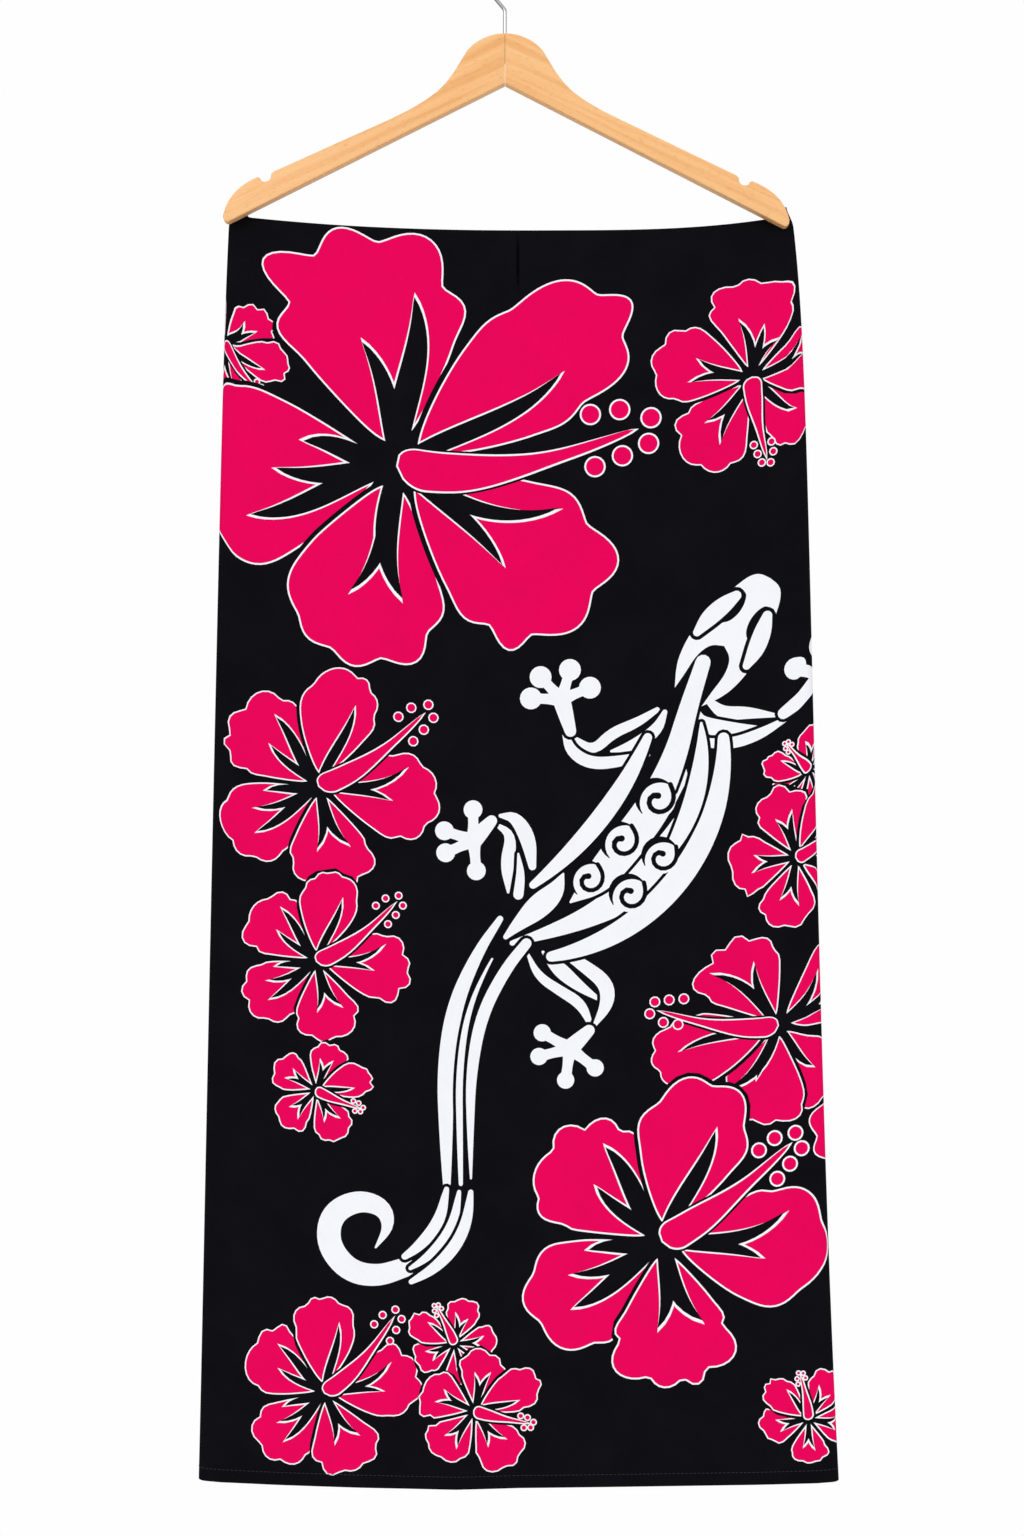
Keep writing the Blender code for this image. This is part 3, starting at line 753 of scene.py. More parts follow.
LONG = (
    (28, 92, 40, 0.24, ((50, 48, 4.8, 0.2), (27, 54, 4.4, 0.15), (9, 45, 4.2, -0.2))),
    (-55, 74, 30, 0.24, ((-51, 44, 4.8, 0.2), (-71, 36, 4.0, -0.2))),
    (258, 78, 38, 0.20, ((230, 62, 5.6, -0.25), (248, 44, 4.4, 0.15))),
    (194, 103, 28, 0.18, ((193, 78, 4.4, 0.2),)),
    (122, 76, 40, 0.26, ((141, 66, 5.6, 0.25), (110, 52, 4.8, -0.2))),
)
LONG_STAMEN = (171, 94, 7.6, -0.26, 4.4)
NODDING = (
    (-42, 68, 27, 0.24, ((-41, 44, 4.6, 0.2),)),
    (8, 72, 28, 0.26, ((29, 46, 4.4, 0.2), (11, 42, 3.8, -0.15))),
    (232, 80, 30, 0.20, ((221, 47, 4.2, -0.2), (243, 54, 4.4, 0.2))),
    (164, 80, 32, 0.24, ((157, 45, 4.4, -0.2), (180, 48, 4.2, 0.15))),
    (86, 78, 38, 0.28, ((102, 46, 4.6, 0.2), (76, 40, 4.2, 0.1), (53, 34, 3.6, -0.2))),
)
NODDING_STAMEN = (-80, 64, 7.0, 0.12, 3.4)
LITTLE = (
    (225, 39, 16, 0.24, ((213, 23, 2.4, -0.2), (238, 25, 2.4, 0.2))),
    (-62, 43, 17, 0.26, ((-48, 26, 2.6, 0.2), (-76, 23, 2.3, -0.2))),
    (150, 37, 18, 0.24, ((161, 24, 2.3, 0.2), (138, 22, 2.4, -0.2))),
    (70, 40, 16, 0.28, ((83, 23, 2.4, 0.2), (60, 25, 2.5, -0.15))),
    (18, 46, 14, 0.22, ((6, 28, 2.5, 0.2),)),
)
LITTLE_STAMEN = (-20, 36, 3.6, 0.12, 2.3)

# The back's blooms come first, so that they lie under the front's round the side folds.
# columns: place, petals, stamen, size, turn
BLOOMS = (
    ((372, 176), BROAD, BROAD_STAMEN, 1.20, 150),
    ((328, 448), NODDING, NODDING_STAMEN, 0.85, 200),
    ((300, 338), LITTLE, LITTLE_STAMEN, 1.0, 60),
    ((345, 752), GREAT, GREAT_STAMEN, 0.55, 118),
    ((300, 905), BROAD, BROAD_STAMEN, 0.60, 250),
    ((385, 930), LITTLE, LITTLE_STAMEN, 1.2, 10),
    ((300, 48), LITTLE, LITTLE_STAMEN, 1.1, 215),
    ((-354, 150), LONG, LONG_STAMEN, 1.1, 200),
    ((-398, 288), LITTLE, LITTLE_STAMEN, 1.1, 130),
    ((-352, 872), BROAD, BROAD_STAMEN, 0.85, 170),
    ((-332, 712), NODDING, NODDING_STAMEN, 0.90, 20),
    ((-325, 560), BROAD, BROAD_STAMEN, 0.70, 80),
    ((-318, 430), LITTLE, LITTLE_STAMEN, 1.25, 300),
    ((-227, 105), LITTLE, LITTLE_STAMEN, 1.15, -28),
    ((187, 122), NODDING, NODDING_STAMEN, 1.0, 0),
    ((231, 435), LITTLE, LITTLE_STAMEN, 0.82, 145),
    ((221, 499), LITTLE, LITTLE_STAMEN, 1.42, 35),
    ((206, 629), LONG, LONG_STAMEN, 1.0, 0),
    ((228, 937), LITTLE, LITTLE_STAMEN, 0.95, 120),
    ((115, 795), BROAD, SHORT_STAMEN, 1.40, -2),
    ((-91, 187), GREAT, GREAT_STAMEN, 1.0, 0),
    ((-153, 440), BROAD, BROAD_STAMEN, 1.0, 0),
    ((-155, 577), BROAD, BROAD_STAMEN, 0.77, 2),
    ((-156, 678), LITTLE, LITTLE_STAMEN, 1.0, 0),
    ((-151, 914), BROAD, BROAD_STAMEN, 0.80, 12),
    ((-49, 873), LITTLE, LITTLE_STAMEN, 0.86, 136),
    ((-34, 926), LITTLE, LITTLE_STAMEN, 1.22, 6),
)

# The lizard, in millimetres right and up from its middle. Its back and its tail are two bent lines,
# and tapered bands run beside them.
BACK_LINE = ((58, 138), (46, 102), (37, 66), (20, 26), (-8, -14), (-44, -48), (-92, -78))
TAIL_LINE = ((-94, -66), (-112, -92), (-130, -132), (-137, -180), (-137, -230), (-137, -268))
TAIL_LOW = ((-137, -272), (-143, -300), (-160, -322), (-180, -336))
# columns: line, where it starts and ends along it, how far it lies to the line's left at its start,
# middle and end, half width at its start, middle and end
BANDS = (
    (BACK_LINE, 0.00, 0.37, (0, 0, 1), (6, 8, 11)),
    (BACK_LINE, 0.25, 0.86, (25, 30, 28), (3.5, 7.5, 3)),
    (BACK_LINE, 0.20, 0.93, (-33, -48, -27), (4.5, 9.5, 4)),
    (BACK_LINE, 0.17, 0.56, (-13, -26, -30), (1, 7.5, 2)),
    (TAIL_LINE, 0.00, 1.00, (9, 8, 7), (2.5, 6.5, 3)),
    (TAIL_LINE, 0.14, 1.00, (-3, -3, -4), (0.8, 2.6, 1.6)),
    (TAIL_LINE, 0.02, 0.98, (-19, -13, -12), (4, 4.5, 0.8)),
    (TAIL_LOW, 0.02, 0.90, (7, 7, 7), (2, 4.8, 2.5)),
    (TAIL_LOW, 0.02, 0.92, (-3, -4, -3), (1.6, 4.0, 1.5)),
    (TAIL_LOW, 0.00, 0.99, (-12, -14, -12), (2, 4.8, 2)),
)
# The leaf shapes at the hips, and the strokes of the limbs: points of right, up and half width.
STROKES = (
    (
        (37, 16, 2),
        (30, -4, 9),
        (15, -25, 12),
        (-6, -46, 12),
        (-34, -61, 8),
        (-64, -72, 5),
        (-92, -80, 2),
    ),
    ((34, 50, 12), (17, 22, 14), (-6, -8, 14), (-26, -32, 12), (-46, -48, 1)),
    ((-52, -26, 1), (-58, -40, 8), (-72, -52, 10), (-88, -66, 5), (-97, -75, 2)),
    ((22, 102, 2), (6, 92, 4), (-14, 84, 4.5), (-28, 70, 4), (-44, 79, 3.5)),
    ((28, 100, 2), (22, 86, 5), (4, 74, 5), (-14, 70, 1)),
    ((14, 67, 2.5), (-6, 62, 4.5), (-30, 60, 5), (-46, 70, 4.5), (-50, 84, 2.5)),
    ((64, 106, 3), (74, 97, 5.5), (92, 97, 5), (115, 93, 1.5)),
    ((53, 102, 1), (56, 90, 6), (76, 84, 7), (106, 84, 1)),
    ((59, 75, 3.5), (80, 73, 4.5), (102, 79, 4.5), (122, 89, 2)),
    ((-101, 20, 1.5), (-89, 19, 5), (-79, 2, 6.5), (-76, -20, 3)),
    ((-104, 13, 1.5), (-92, 5, 4), (-96, -18, 6), (-95, -40, 1)),
    ((-87, -10, 0.8), (-85, -26, 3.5), (-87, -42, 4)),
    ((-80, -88, 1), (-72, -106, 3.5), (-54, -118, 4), (-38, -128, 4.5), (-31, -144, 2)),
    ((-68, -87, 1), (-56, -100, 6.5), (-40, -114, 4.5), (-22, -126, 1)),
    ((-54, -86, 3), (-36, -98, 5), (-18, -112, 6), (-17, -128, 5.5), (-29, -147, 1)),
    (
        (-177, -334, 7.5),
        (-199, -342, 8.5),
        (-222, -338, 9.2),
        (-238, -318, 9.4),
        (-235, -294, 9.0),
        (-214, -282, 8.4),
        (-194, -287, 7.2),
        (-189, -302, 4.5),
        (-200, -319, 0.8),
    ),
)
# The feet. columns: where the leg leaves off, the foot's middle, reach of a toe, pad, toe headings
FEET = (
    ((-46, 86), (-53, 111), 24, 8.6, (178, 133, 74, 22)),
    ((121, 94), (151, 114), 25, 8.6, (146, 92, 42, -14)),
    ((-108, 16), (-122, 1), 24, 7.4, (91, 162, 204, 275)),
    ((-32, -149), (-47, -163), 25, 6.8, (150, 194, 262, -38)),
)
# The curls down its back. columns: place, radius, heading where the cut starts, hand
CURLS = (
    ((0, -43), 13.5, 40, 1),
    ((25, -14), 13.0, 35, 1),
    ((-32, -31), 13.0, 60, 1),
    ((-6, -2), 14.0, 60, 1),
    ((22, 31), 14.5, 50, 1),
)
# Half of its head, right of the axis to its nose: runs of points along and aside, between corners.
HEAD_RUNS = (
    ((114, 0), (113, 10), (106, 16), (94, 20)),
    ((94, 20), (96, 10), (89, 6), (79, 5), (69, 8), (64, 15), (67, 27)),
    ((67, 27), (52, 28), (36, 27), (20, 23), (4, 13)),
    ((4, 13), (18, 13), (34, 14), (47, 10), (52, 0)),
)
# the black gaps round its strokes and round its eyes
GAP_WIDTH = 2.5
EYE_GAP = 3.0
HEAD_AT = (44, 108)
HEAD_HEADING = 54
EYE = ((49, 24, 3.2), (63, 23, 7.0), (78, 19, 7.0), (89, 15, 4.0))
# A curl's cuts: one goes round outside it, and one winds into it.
CUT_OUTSIDE = 1.2
OUTSIDE_TURN = math.radians(170)
OUTSIDE_HALF = 2.8
INWARD_TURN = math.radians(330)
# half widths at the start, middle and end
LEG_HALVES = (4.5, 6, 7)
TOE_HALVES = (6, 3.6, 4.5)
STROKE_STEP = 3.6


def smooth(points):
    """Points of a line with their corners cut three times, its ends kept."""
    points = np.array(points, float)
    for _ in range(3):
        near, far = points[:-1], points[1:]
        cut = np.stack((0.75 * near + 0.25 * far, 0.25 * near + 0.75 * far), axis=1)
        points = np.vstack((points[:1], cut.reshape(-1, points.shape[1]), points[-1:]))
    return points


def tapered(spine, half):
    """The outline of a stroke along a spine, with round ends."""
    ahead = np.gradient(spine)
    ahead = ahead / abs(ahead)
    caps = np.exp(1j * np.linspace(math.pi / 2, -math.pi / 2, 7)[1:-1])
    left, right = spine + 1j * ahead * half, spine - 1j * ahead * half
    last = spine[-1] + ahead[-1] * half[-1] * caps
    first = spine[0] - ahead[0] * half[0] * caps
    return np.concatenate((left, last, right[::-1], first))


def stepped(points, start=0.0, end=1.0):
    """Even steps along a smoothed line, and the share of the run at each."""
    spine = points[:, 0] + 1j * points[:, 1]
    run = np.concatenate(([0], np.cumsum(abs(np.diff(spine)))))
    share = np.linspace(0, 1, max(6, round(run[-1] * (end - start) / STROKE_STEP)) + 1)
    at = run[-1] * (start + (end - start) * share)
    return np.interp(at, run, spine.real) + 1j * np.interp(at, run, spine.imag), share, at, run


def stroke(rows):
    """A tapered stroke through points of right, up and half width."""
    points = smooth(rows)
    spine, _, at, run = stepped(points)
    return tapered(spine, np.interp(at, run, points[:, 2]))


def limb(start, end, halves):
    """A straight tapered stroke from one complex point to another."""
    spots = (start, (start + end) / 2, end)
    return stroke([(spot.real, spot.imag, half) for spot, half in zip(spots, halves)])


def through(values, share):
    """A value that runs smoothly through three, at 0, a half and 1."""
    first, middle, last = values
    return (
        first * (1 - share) * (1 - 2 * share)
        + middle * 4 * share * (1 - share)
        + last * share * (2 * share - 1)
    )


def band(line, start, end, beside, half):
    """A tapered stroke that runs beside a line."""
    spine, share, _, _ = stepped(smooth(line), start, end)
    ahead = np.gradient(spine)
    aside = 1j * ahead / abs(ahead) * through(beside, share)
    return tapered(spine - aside, through(half, share))


def lizard(place, turn=0.0):
    """The whole lizard, moved to a place and turned about its middle."""
    way = np.exp(1j * math.radians(turn))
    middle = complex(place[0], -place[1])

    def lay(ink, outline):
        paint(ink, middle + np.asarray(outline) * way)

    def lay_apart(bare, outline, gap=GAP_WIDTH):
        lay(BLACK, inset(counter_clockwise(outline), -gap))
        lay(bare, outline)

    for row in STROKES:
        lay_apart(WHITE, stroke(row))
    for row in BANDS:
        lay_apart(WHITE, band(*row))
    for (x, y), radius, heading, hand in CURLS:
        at, away = complex(x, y), np.exp(1j * math.radians(heading))
        run = np.linspace(0, 1, 14)
        lay(WHITE, circle(at, radius, 24))
        beside = at + (radius + CUT_OUTSIDE) * away * np.exp(1j * hand * OUTSIDE_TURN * run)
        wide = OUTSIDE_HALF * np.sin(math.pi * np.clip(run, 0.05, 0.97)) ** 0.8
        lay(BLACK, stroke(list(zip(beside.real, beside.imag, wide))))
        turns = away * np.exp(-1j * hand * INWARD_TURN * run)
        cut = at + radius * (1.1 - 0.86 * run**0.75) * turns
        wide = radius * (0.13 + 0.05 * run**3)
        lay(BLACK, stroke(list(zip(cut.real, cut.imag, wide))))
    for ankle, foot, reach, pad, headings in FEET:
        ankle, foot = complex(*ankle), complex(*foot)
        lay_apart(WHITE, limb(ankle, foot, LEG_HALVES))
        for heading in headings:
            toe = foot + reach * np.exp(1j * math.radians(heading))
            lay(WHITE, limb(foot, toe, TOE_HALVES))
            lay(WHITE, circle(toe, pad, 18))
    head = complex(*HEAD_AT)
    facing = np.exp(1j * math.radians(HEAD_HEADING))
    half = np.concatenate([smooth(run)[:-1] for run in HEAD_RUNS])
    half = half[:, 0] + 1j * half[:, 1]
    nape = complex(*HEAD_RUNS[-1][-1])
    lay(WHITE, head + facing * np.concatenate((half, [nape], half[:0:-1].conj())))
    for side in (1, -1):
        eye = stroke([(x, side * y, w) for x, y, w in EYE])
        lay_apart(WHITE, head + facing * eye, EYE_GAP)


# The back's lizard lies over the seam, so it is laid from both ends of the cloth. The end of its
# tail would show twice, so it is left off past the left end.
lizard((455, 560), turn=28)
lizard((-511, 560), turn=28)
TAIL_SHOWN = -740
LEFT_END = -400
shapes = [
    row
    for row in shapes
    if row[1].imag.mean() > TAIL_SHOWN or row[1].real.mean() > LEFT_END
]
lizard((90, 480))
for at, rows, spike, size, turn in BLOOMS:
    bloom(at, rows, spike, size, turn)

# The tube's mesh. The inks are printed on one cloth, so its flat mesh is divided along the edges
# where the ink changes, and is finer round the side folds, along the creases and in the turn of the
# hem. No bmesh operator cuts a face along crossing outlines, so a triangulation does.
HEM_STARTS = DROP - HEM_TURN
HEM_TURNED = HEM_STARTS + HEM_TURN * math.pi
ROWS = np.concatenate(
    (
        np.arange(0, 60, 3.0) * MM,
        np.arange(60, 95, 5.0) * MM,
        np.arange(95, 968, 11.5) * MM,
        HEM_STARTS - np.array((0.016, 0.012, 0.008, 0.004, 0.0)),
        HEM_STARTS + HEM_TURN * math.pi * np.array((0.25, 0.5, 0.75, 1.0)),
        HEM_TURNED + HEM_HEIGHT * np.array((0.33, 0.66, 1.0)),
    )
)
NEAR_EDGE = np.array((0.935, 0.965, 0.985))
FLAT_SHARES = np.union1d(np.linspace(-1, 1, 41), np.linspace(-0.12, 0.18, 17))
FLAT_SHARES = np.union1d(FLAT_SHARES, (-NEAR_EDGE, NEAR_EDGE))
FOLD_SHARES = np.linspace(0, 1, 12)[1:-1]
BACK_SHARES = np.union1d(np.linspace(0, 1, 21), NEAR_EDGE)[::-1]
TUCK_ENDS = 0.058
TUCK_STEPS = np.array((-9, -6.5, -4.5, -3, -2, -1.3, -0.8, -0.4, 0, 0.4, 0.8, 1.3, 2)) * MM
TUCK_APART = 1.5 * MM
CREASE_STEP = 6.0
CREASE_SIDES = np.array((-1.6, -0.8, 0, 0.8, 1.6))
CREASES_BETWEEN = (-970, -2)
SAME_POINT = 0.004
SPOTS_AT_ONCE = 1000


def row_of(down):
    """Places round the cloth where a row is divided, from its left end to its right one."""
    drop = min(down / DROP, 1.0)
    radius = fold_radius(drop)
    flat = half_width(drop) - radius
    fold = 2 * (radius * math.pi / 2 + EDGE_FLAT)
    right = np.concatenate((flat + fold * FOLD_SHARES, flat + fold + flat * (1 - BACK_SHARES)))
    lap = [right[-1] + 0.5 * SEAM_LAP, right[-1] + SEAM_LAP]
    front = flat * FLAT_SHARES
    if down < TUCK_ENDS:
        furrow = TUCK_X - lean(drop) + TUCK_STEPS
        beyond = (front < furrow[0] - TUCK_APART) | (front > furrow[-1] + TUCK_APART)
        front = np.sort(np.concatenate((front[beyond], furrow)))
    return np.concatenate((-right[::-1], front, right, lap))


# the cloth's outer edge, the points inside it, and the columns of points down the side folds
grid = [row_of(down) / MM - 1j * down / MM for down in ROWS]
left_side, right_side = [row[0] for row in grid[1:-1]], [row[-1] for row in grid[-2:0:-1]]
cloth_rim = np.concatenate((grid[0][::-1], left_side, grid[-1], right_side))
loose = [row[1:-1] for row in grid[1:-1]]
in_fold = len(FOLD_SHARES) + 1
to_fold = len(BACK_SHARES) - 1
lefts = [[row[to_fold + i] for row in grid] for i in range(in_fold + 1)]
rights = [[row[-3 - to_fold - i] for row in grid] for i in range(in_fold + 1)]
columns = [np.array(column) for column in lefts + rights]
for q, d, length, heading, depth, width in CREASES:
    steps = np.arange(-length, length + 1, CREASE_STEP)
    along, across = np.meshgrid(steps, width * CREASE_SIDES)
    spots = complex(q, -d) + (along + 1j * across).ravel() * np.exp(1j * math.radians(heading))
    lowest, highest = CREASES_BETWEEN
    loose.append(spots[(spots.imag < highest) & (spots.imag > lowest)])


def gone_round(outline, spots):
    """Which spots a closed outline goes round, a thousand or so at a time."""
    turns = []
    for some in np.array_split(spots, len(spots) // SPOTS_AT_ONCE + 1):
        ray = outline[None, :] - some[:, None]
        turns.append(np.angle(np.roll(ray, -1, axis=1) / ray).sum(axis=1))
    return abs(np.concatenate(turns)) > math.pi


def ring(outline, start):
    """The edges round an outline whose first point has the number start."""
    at = np.arange(len(outline))
    return np.stack((start + at, start + np.roll(at, -1)), axis=1)


def divided(rim, spots, lines):
    """Triangles inside a rim, with edges along it, down the side folds and along the lines between
    the spots, and where the rim's points went."""
    all_lines = [lines, ring(rim, len(spots))]
    start = len(spots) + len(rim)
    for column in columns:
        all_lines.append(ring(column, start)[:-1])
        start += len(column)
    flat_points = np.concatenate([spots, rim] + columns + loose)
    vectors = [Vector((p.real, p.imag)) for p in flat_points]
    pairs = np.concatenate(all_lines).tolist()
    made, _, faces, came_from, _, _ = delaunay_2d_cdt(vectors, pairs, [], 0, SAME_POINT, True)
    made, faces = np.array([complex(*p) for p in made]), np.array(faces)
    faces = faces[gone_round(rim, made[faces].mean(axis=1))]
    became = {old: new for new, olds in enumerate(came_from) for old in olds}
    return made, faces, [became[len(spots) + i] for i in range(len(rim))]


def inked(middles):
    """The ink at each spot."""
    inks = np.full(len(middles), BLACK)
    for ink, outline, within in shapes:
        hit = np.flatnonzero(
            (middles.real > outline.real.min())
            & (middles.real < outline.real.max())
            & (middles.imag > outline.imag.min())
            & (middles.imag < outline.imag.max())
        )
        for limit in (outline, within):
            if limit is not None and len(hit):
                hit = hit[gone_round(limit, middles[hit])]
        inks[hit] = ink
    return inks


# The right side is divided along every outline, then again along only the edges where the ink
# changes.
spots = np.concatenate([outline for _, outline, _ in shapes])
starts = np.cumsum([0] + [len(outline) for _, outline, _ in shapes])
lines = np.concatenate([ring(outline, start) for (_, outline, _), start in zip(shapes, starts)])
right_points, right_faces, _ = divided(cloth_rim, spots, lines)
inks = inked(right_points[right_faces].mean(axis=1))
sides = np.sort(np.concatenate([right_faces[:, pair] for pair in ((0, 1), (1, 2), (2, 0))]))
side_inks = np.tile(inks, 3)
order = np.lexsort((sides[:, 1], sides[:, 0]))
sides, side_inks = sides[order], side_inks[order]
change = (sides[:-1] == sides[1:]).all(axis=1) & (side_inks[:-1] != side_inks[1:])
used, lines = np.unique(sides[:-1][change], return_inverse=True)
right_points, right_faces, _ = divided(cloth_rim, right_points[used], lines.reshape(-1, 2))
inks = inked(right_points[right_faces].mean(axis=1))

# The wrong side, plain, has the same rim as the right side, and a narrow edge joins the two.
sides = np.concatenate([right_faces[:, (0, 1)], right_faces[:, (1, 2)], right_faces[:, (2, 0)]])
sides = [tuple(side) for side in sides.tolist()]
met = {(b, a) for a, b in sides}
onwards = dict(side for side in sides if side not in met)  # the rim's edges have one face each
edge = [next(iter(onwards))]
while onwards[edge[-1]] != edge[0]:
    edge.append(onwards[edge[-1]])
none = np.empty((0, 2), int)
wrong_points, wrong_faces, wrong_edge = divided(right_points[edge], np.empty(0, complex), none)
first = len(right_points)
joins = []
for i in range(len(edge)):
    near, far = edge[i - 1], edge[i]
    near_wrong, far_wrong = first + wrong_edge[i - 1], first + wrong_edge[i]
    joins += [(far, near, near_wrong), (far, near_wrong, far_wrong)]

flat_cloth = np.concatenate((right_points, wrong_points))
around, down = flat_cloth.real * MM, -flat_cloth.imag * MM
depth_in = np.where(np.arange(len(flat_cloth)) < first, 0, -CLOTH_THICK)
places = on_tube(around, down, depth_in)
faces = right_faces.tolist() + (wrong_faces[:, ::-1] + first).tolist() + joins
mesh = bpy.data.meshes.new("printed_tube")
mesh.from_pydata([tuple(p) for p in places], [], faces)
plain = np.full(len(faces) - len(inks), WRONG_SIDE)
mesh.polygons.foreach_set("material_index", np.concatenate((inks, plain)))
corner = np.empty(len(mesh.loops), int)
mesh.loops.foreach_get("vertex_index", corner)
flat_map = mesh.uv_layers.new(name="flat_cloth")
flat_map.data.foreach_set("uv", np.stack((around[corner], -down[corner]), axis=1).ravel())
bm = bmesh.new()
bm.from_mesh(mesh)
bpy.data.meshes.remove(mesh)
unused = [v for v in bm.verts if not v.link_faces]
bmesh.ops.delete(bm, geom=unused, context="VERTS")


# A thread's thickness and length between slubs, in metres on the flat cloth.
SLUB = (0.00045, 0.0060, 1.0)
# columns: direction, threads as the wave's scale
THREADS = (("X", 520.0), ("Y", 560.0))
THREAD_WOBBLE = 0.6


def cotton(name, colour, spread):
    """Plain-woven cotton with a dull matte face. Spread is how far its dye varies."""
    finish, nodes, links, shader = new_finish(name, colour, 0.9, Specular_IOR_Level=0.04)
    flat = add_node(nodes, "ShaderNodeUVMap", uv_map="flat_cloth").outputs["UV"]
    lay = add_node(nodes, "ShaderNodeMapping", vector_type="TEXTURE")
    lay.inputs["Scale"].default_value = SLUB
    links.new(flat, lay.inputs["Vector"])
    both = add_node(nodes, "ShaderNodeMath", operation="ADD")
    links.new(noise(nodes, links, flat, 26.0, 4.0, Roughness=0.55), both.inputs[0])
    slub = noise(nodes, links, lay.outputs["Vector"], 1.0, 2.0, Roughness=0.5)
    links.new(slub, both.inputs[1])
    halved = add_node(nodes, "ShaderNodeMath", operation="MULTIPLY")
    halved.inputs[1].default_value = 0.5
    links.new(both.outputs[0], halved.inputs[0])
    low = [max(0.0, c * (1 - spread)) for c in colour]
    high = [min(1.0, c * (1 + spread)) for c in colour]
    dye = toned(nodes, links, halved.outputs[0], (0.38, low), (0.62, high))
    links.new(dye, shader.inputs["Base Color"])
    weave = add_node(nodes, "ShaderNodeMath", operation="MAXIMUM")
    for end, (direction, threads) in enumerate(THREADS):
        thread = add_node(nodes, "ShaderNodeTexWave", bands_direction=direction, Scale=threads)
        thread.inputs["Distortion"].default_value = THREAD_WOBBLE
        links.new(flat, thread.inputs["Vector"])
        links.new(thread.outputs["Fac"], weave.inputs[end])
    raise_grain(nodes, links, shader, weave.outputs[0], 0.25, 0.0001)
    return finish


# The right side's three inks, and the duller wrong side. columns: name, colour, spread of the dye
COTTONS = (
    ("black_ground", (0.0042, 0.0040, 0.0056), 0.20),
    ("pink_print", (0.800, 0.0010, 0.100), 0.035),
    ("white_print", (0.900, 0.905, 0.950), 0.020),
    ("wrong_side", (0.016, 0.015, 0.018), 0.20),
)
tube = new_piece("printed_tube", bm, [cotton(*row) for row in COTTONS])
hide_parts("front_panel", "back_panel", "front_hem", "back_hem")


# The stitching. Black cotton thread in a single row: one holds the hem up, all round the foot, and
# one holds down the lap of the back seam.
HEM_STITCHES_UP = 0.0100
STITCH = 0.0026
STITCH_PITCH = 0.0033
THREAD_RADIUS = 0.00022
THREAD_PROUD = 0.0001
HEM_ROW_ENDS = (0.004, 0.001)
SEAM_ROW_ENDS = (0.004, 0.006)
SEAM_STITCHES_IN = 0.0022


def stitch_row(bm, starts, ends):
    """A short rounded stitch from each start to its end."""
    for start, end in zip(starts, ends):
        start, end = Vector(start), Vector(end)
        made = bmesh.ops.create_uvsphere(bm, u_segments=6, v_segments=4, radius=1)["verts"]
        size = Matrix.Diagonal((THREAD_RADIUS, THREAD_RADIUS, (end - start).length / 2, 1))
        way = Vector((0, 0, 1)).rotation_difference(end - start).to_matrix().to_4x4()
        place = Matrix.Translation((start + end) / 2) @ way @ size
        bmesh.ops.transform(bm, matrix=place, verts=made)


black = (0.030, 0.030, 0.034)
thread, nodes, links, shader = new_finish("black_thread", black, 0.7, Specular_IOR_Level=0.3)
where = add_node(nodes, "ShaderNodeTexCoord").outputs["Object"]
twist = noise(nodes, links, where, 2500.0, 2.0)
fuzz = toned(nodes, links, twist, (0.3, (0.020, 0.020, 0.024)), (0.7, (0.042, 0.042, 0.048)))
links.new(fuzz, shader.inputs["Base Color"])

hem_down = DROP - HEM_STITCHES_UP
hem_girth = float(half_girth(hem_down / DROP))
steps = np.arange(-hem_girth + HEM_ROW_ENDS[0], hem_girth - HEM_ROW_ENDS[1], STITCH_PITCH)
level = np.full(len(steps), hem_down)
ends = [on_tube(around, level, THREAD_PROUD) for around in (steps, steps + STITCH)]
bm = bmesh.new()
stitch_row(bm, *ends)
hem_stitches = new_piece("hem_stitches", bm, [thread])

downs = np.arange(SEAM_ROW_ENDS[0], DROP - SEAM_ROW_ENDS[1], STITCH_PITCH)
ends = []
for lows in (downs, downs + STITCH):
    beside = half_girth(lows / DROP) + SEAM_LAP - SEAM_STITCHES_IN
    ends.append(on_tube(beside, lows, THREAD_PROUD))
bm = bmesh.new()
stitch_row(bm, *ends)
seam_stitches = new_piece("seam_stitches", bm, [thread])


# The tacks. Small ones of turned steel, each pushed through both layers of a top corner into the
# back of an arm, its domed head on the cloth.
TACK_HEAD_RADIUS = 0.0030
TACK_PIN_RADIUS = 0.0007
TACK_POINT = 0.0014
HEAD_THICK = 0.0011
HEAD_EDGE = 0.0001
HEAD_DOME_FROM = 0.0003
HEAD_DOME = 0.0008

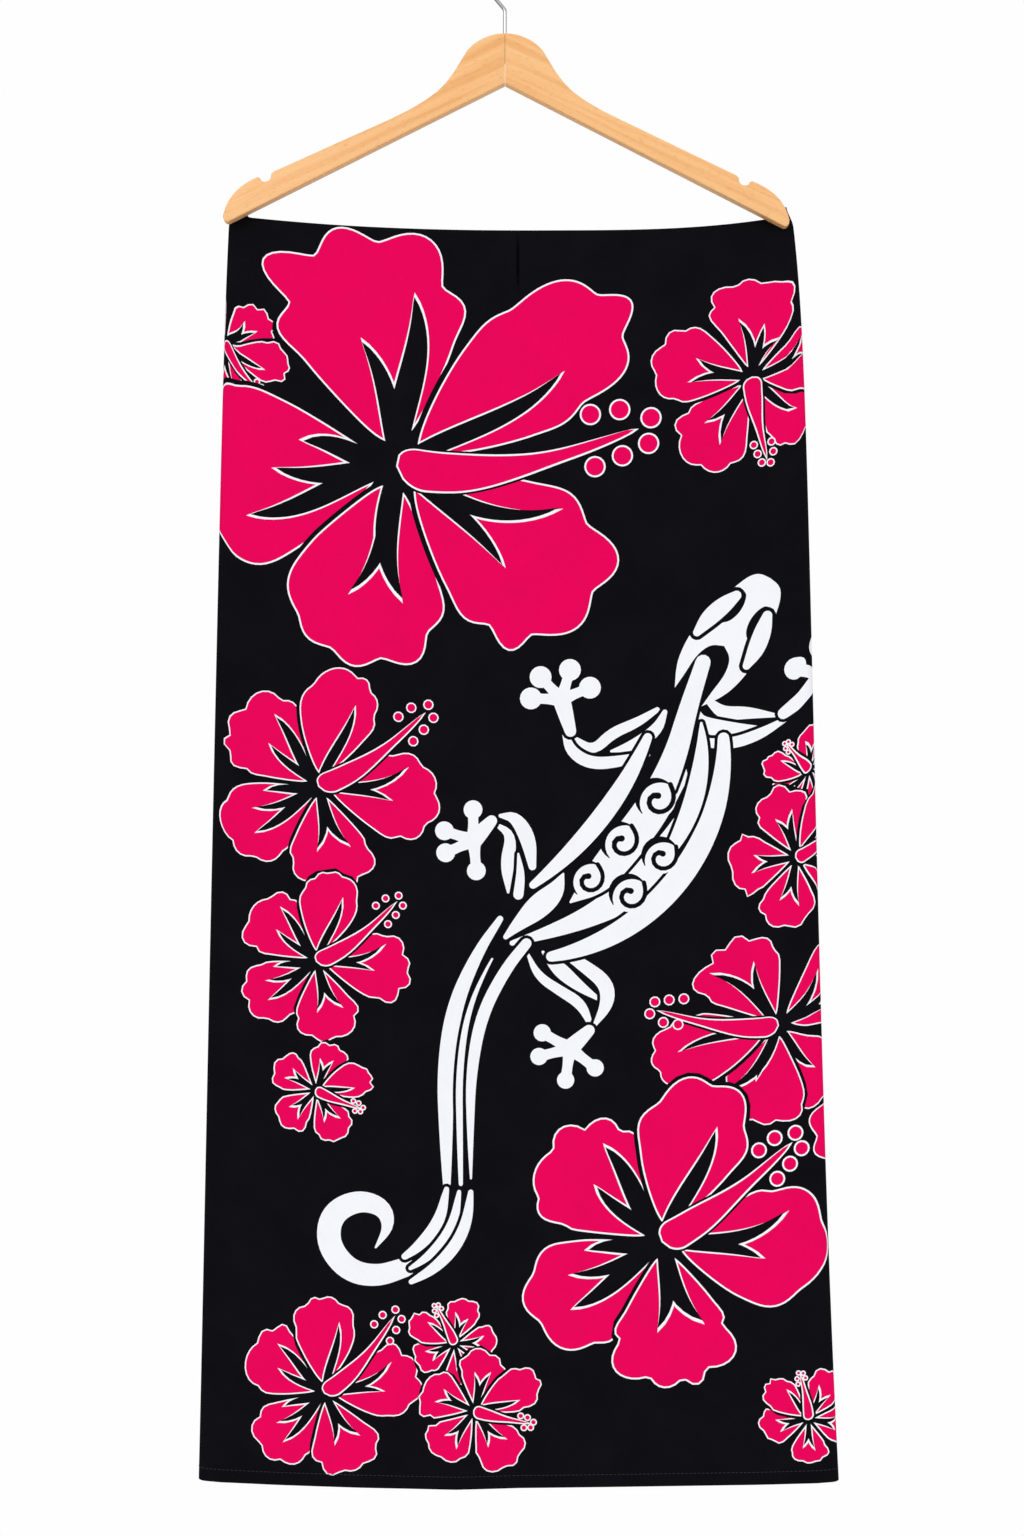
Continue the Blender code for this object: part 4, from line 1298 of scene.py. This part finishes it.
steel, nodes, links, shader = new_finish("tack_steel", (0.55, 0.55, 0.56), 0.35, Metallic=1.0)
where = add_node(nodes, "ShaderNodeTexCoord").outputs["Object"]
scuff = noise(nodes, links, where, 1400.0, 3.0)
dull = toned(nodes, links, scuff, (0.35, (0.26, 0.26, 0.26)), (0.7, (0.46, 0.46, 0.46)))
links.new(dull, shader.inputs["Roughness"])
for node in ("tack_left", "tack_right"):
    low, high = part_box(node)
    middle = (low + high) / 2
    seat = high.y - HEAD_THICK
    profile = [(0, low.y), (TACK_PIN_RADIUS, low.y + TACK_POINT), (TACK_PIN_RADIUS, seat)]
    profile += [(TACK_HEAD_RADIUS - HEAD_EDGE, seat), (TACK_HEAD_RADIUS, seat + HEAD_EDGE)]
    profile += [
        (TACK_HEAD_RADIUS * math.cos(a), seat + HEAD_DOME_FROM + HEAD_DOME * math.sin(a))
        for a in np.linspace(0, math.pi / 2, 8)
    ]
    bm = bmesh.new()
    verts = [bm.verts.new((radius, y, 0)) for radius, y in profile]
    edges = [bm.edges.new(pair) for pair in zip(verts, verts[1:])]
    bmesh.ops.spin(
        bm,
        geom=verts + edges,
        axis=(0, 1, 0),
        cent=(0, 0, 0),
        steps=40,
        angle=2 * math.pi,
        use_merge=True,
    )
    bmesh.ops.remove_doubles(bm, verts=bm.verts, dist=0.000005)
    bmesh.ops.recalc_face_normals(bm, faces=bm.faces)
    bmesh.ops.translate(bm, verts=bm.verts, vec=(middle.x, 0, middle.z))
    tack = new_piece("steel_" + node, bm, [steel], sharp=50)
    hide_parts(node)


# The studio. A plain pale floor below the hem, white all round, and soft light from the front.
FLOOR_RADIUS = 1.7
FLOOR_Z = -1.85
FLOOR_GREY = (0.90, 0.90, 0.90)

bm = bmesh.new()
bmesh.ops.create_circle(bm, cap_ends=True, segments=96, radius=FLOOR_RADIUS)
bmesh.ops.translate(bm, verts=bm.verts, vec=(0, 0, FLOOR_Z))
mesh = bpy.data.meshes.new("floor")
bm.to_mesh(mesh)
bm.free()
floor = in_scene("floor", mesh)
mesh.materials.append(new_finish("pale_floor", FLOOR_GREY, 0.9, Specular_IOR_Level=0.1)[0])

# The grey that lights the object, darker below and at the sides so that the wire has edges, and
# the white that shows behind it.
SURROUND = ((0.0, (0.25, 0.25, 0.25)), (0.5, (0.52, 0.52, 0.53)), (0.8, (0.78, 0.78, 0.78)))
SURROUND_LIGHT = 1.12
BACKDROP = (0.99, 0.99, 0.99, 1)

world = bpy.data.worlds.new("studio")
bpy.context.scene.world = world
world.use_nodes = True
nodes, links = world.node_tree.nodes, world.node_tree.links
nodes.clear()
facing = add_node(nodes, "ShaderNodeTexCoord").outputs["Generated"]
parts = add_node(nodes, "ShaderNodeSeparateXYZ")
links.new(facing, parts.inputs["Vector"])
centred = add_node(nodes, "ShaderNodeMapRange")
centred.inputs["From Min"].default_value = -1.0
links.new(parts.outputs["Z"], centred.inputs["Value"])
soft = add_node(nodes, "ShaderNodeBackground", Strength=SURROUND_LIGHT)
shade = toned(nodes, links, centred.outputs["Result"], *SURROUND)
links.new(shade, soft.inputs["Color"])
white = add_node(nodes, "ShaderNodeBackground", Strength=1.0, Color=BACKDROP)
path = add_node(nodes, "ShaderNodeLightPath")
either = add_node(nodes, "ShaderNodeMixShader")
links.new(path.outputs["Is Camera Ray"], either.inputs["Fac"])
links.new(soft.outputs["Background"], either.inputs[1])
links.new(white.outputs["Background"], either.inputs[2])
out = add_node(nodes, "ShaderNodeOutputWorld")
links.new(either.outputs["Shader"], out.inputs["Surface"])

AIM = Vector((0.005, 0.0, -0.62))
# columns: name, place, width, power
LAMPS = (
    ("key", (-1.5, -2.4, 0.7), 1.8, 26.5),
    ("fill", (1.9, -2.2, 0.1), 1.6, 16.0),
    ("behind", (0.6, 2.4, 0.9), 1.8, 14.0),
)
for name, place, width, power in LAMPS:
    lamp = bpy.data.lights.new(name, "AREA")
    lamp.size = width
    lamp.energy = power
    light = in_scene(name, lamp)
    light.location = place
    light.rotation_euler = (AIM - Vector(place)).to_track_quat("-Z", "Y").to_euler()
bpy.context.scene.view_settings.view_transform = "Standard"

# The camera looks straight at the front, level, from 2 m.
CAMERA_AT = (0.00548, -2.0, -0.6373)
LENS = 59.83
lens = bpy.data.cameras.new("camera")
lens.lens = LENS
camera = in_scene("camera", lens)
camera.location = CAMERA_AT
camera.rotation_euler = (math.pi / 2, 0, 0)
bpy.context.scene.camera = camera
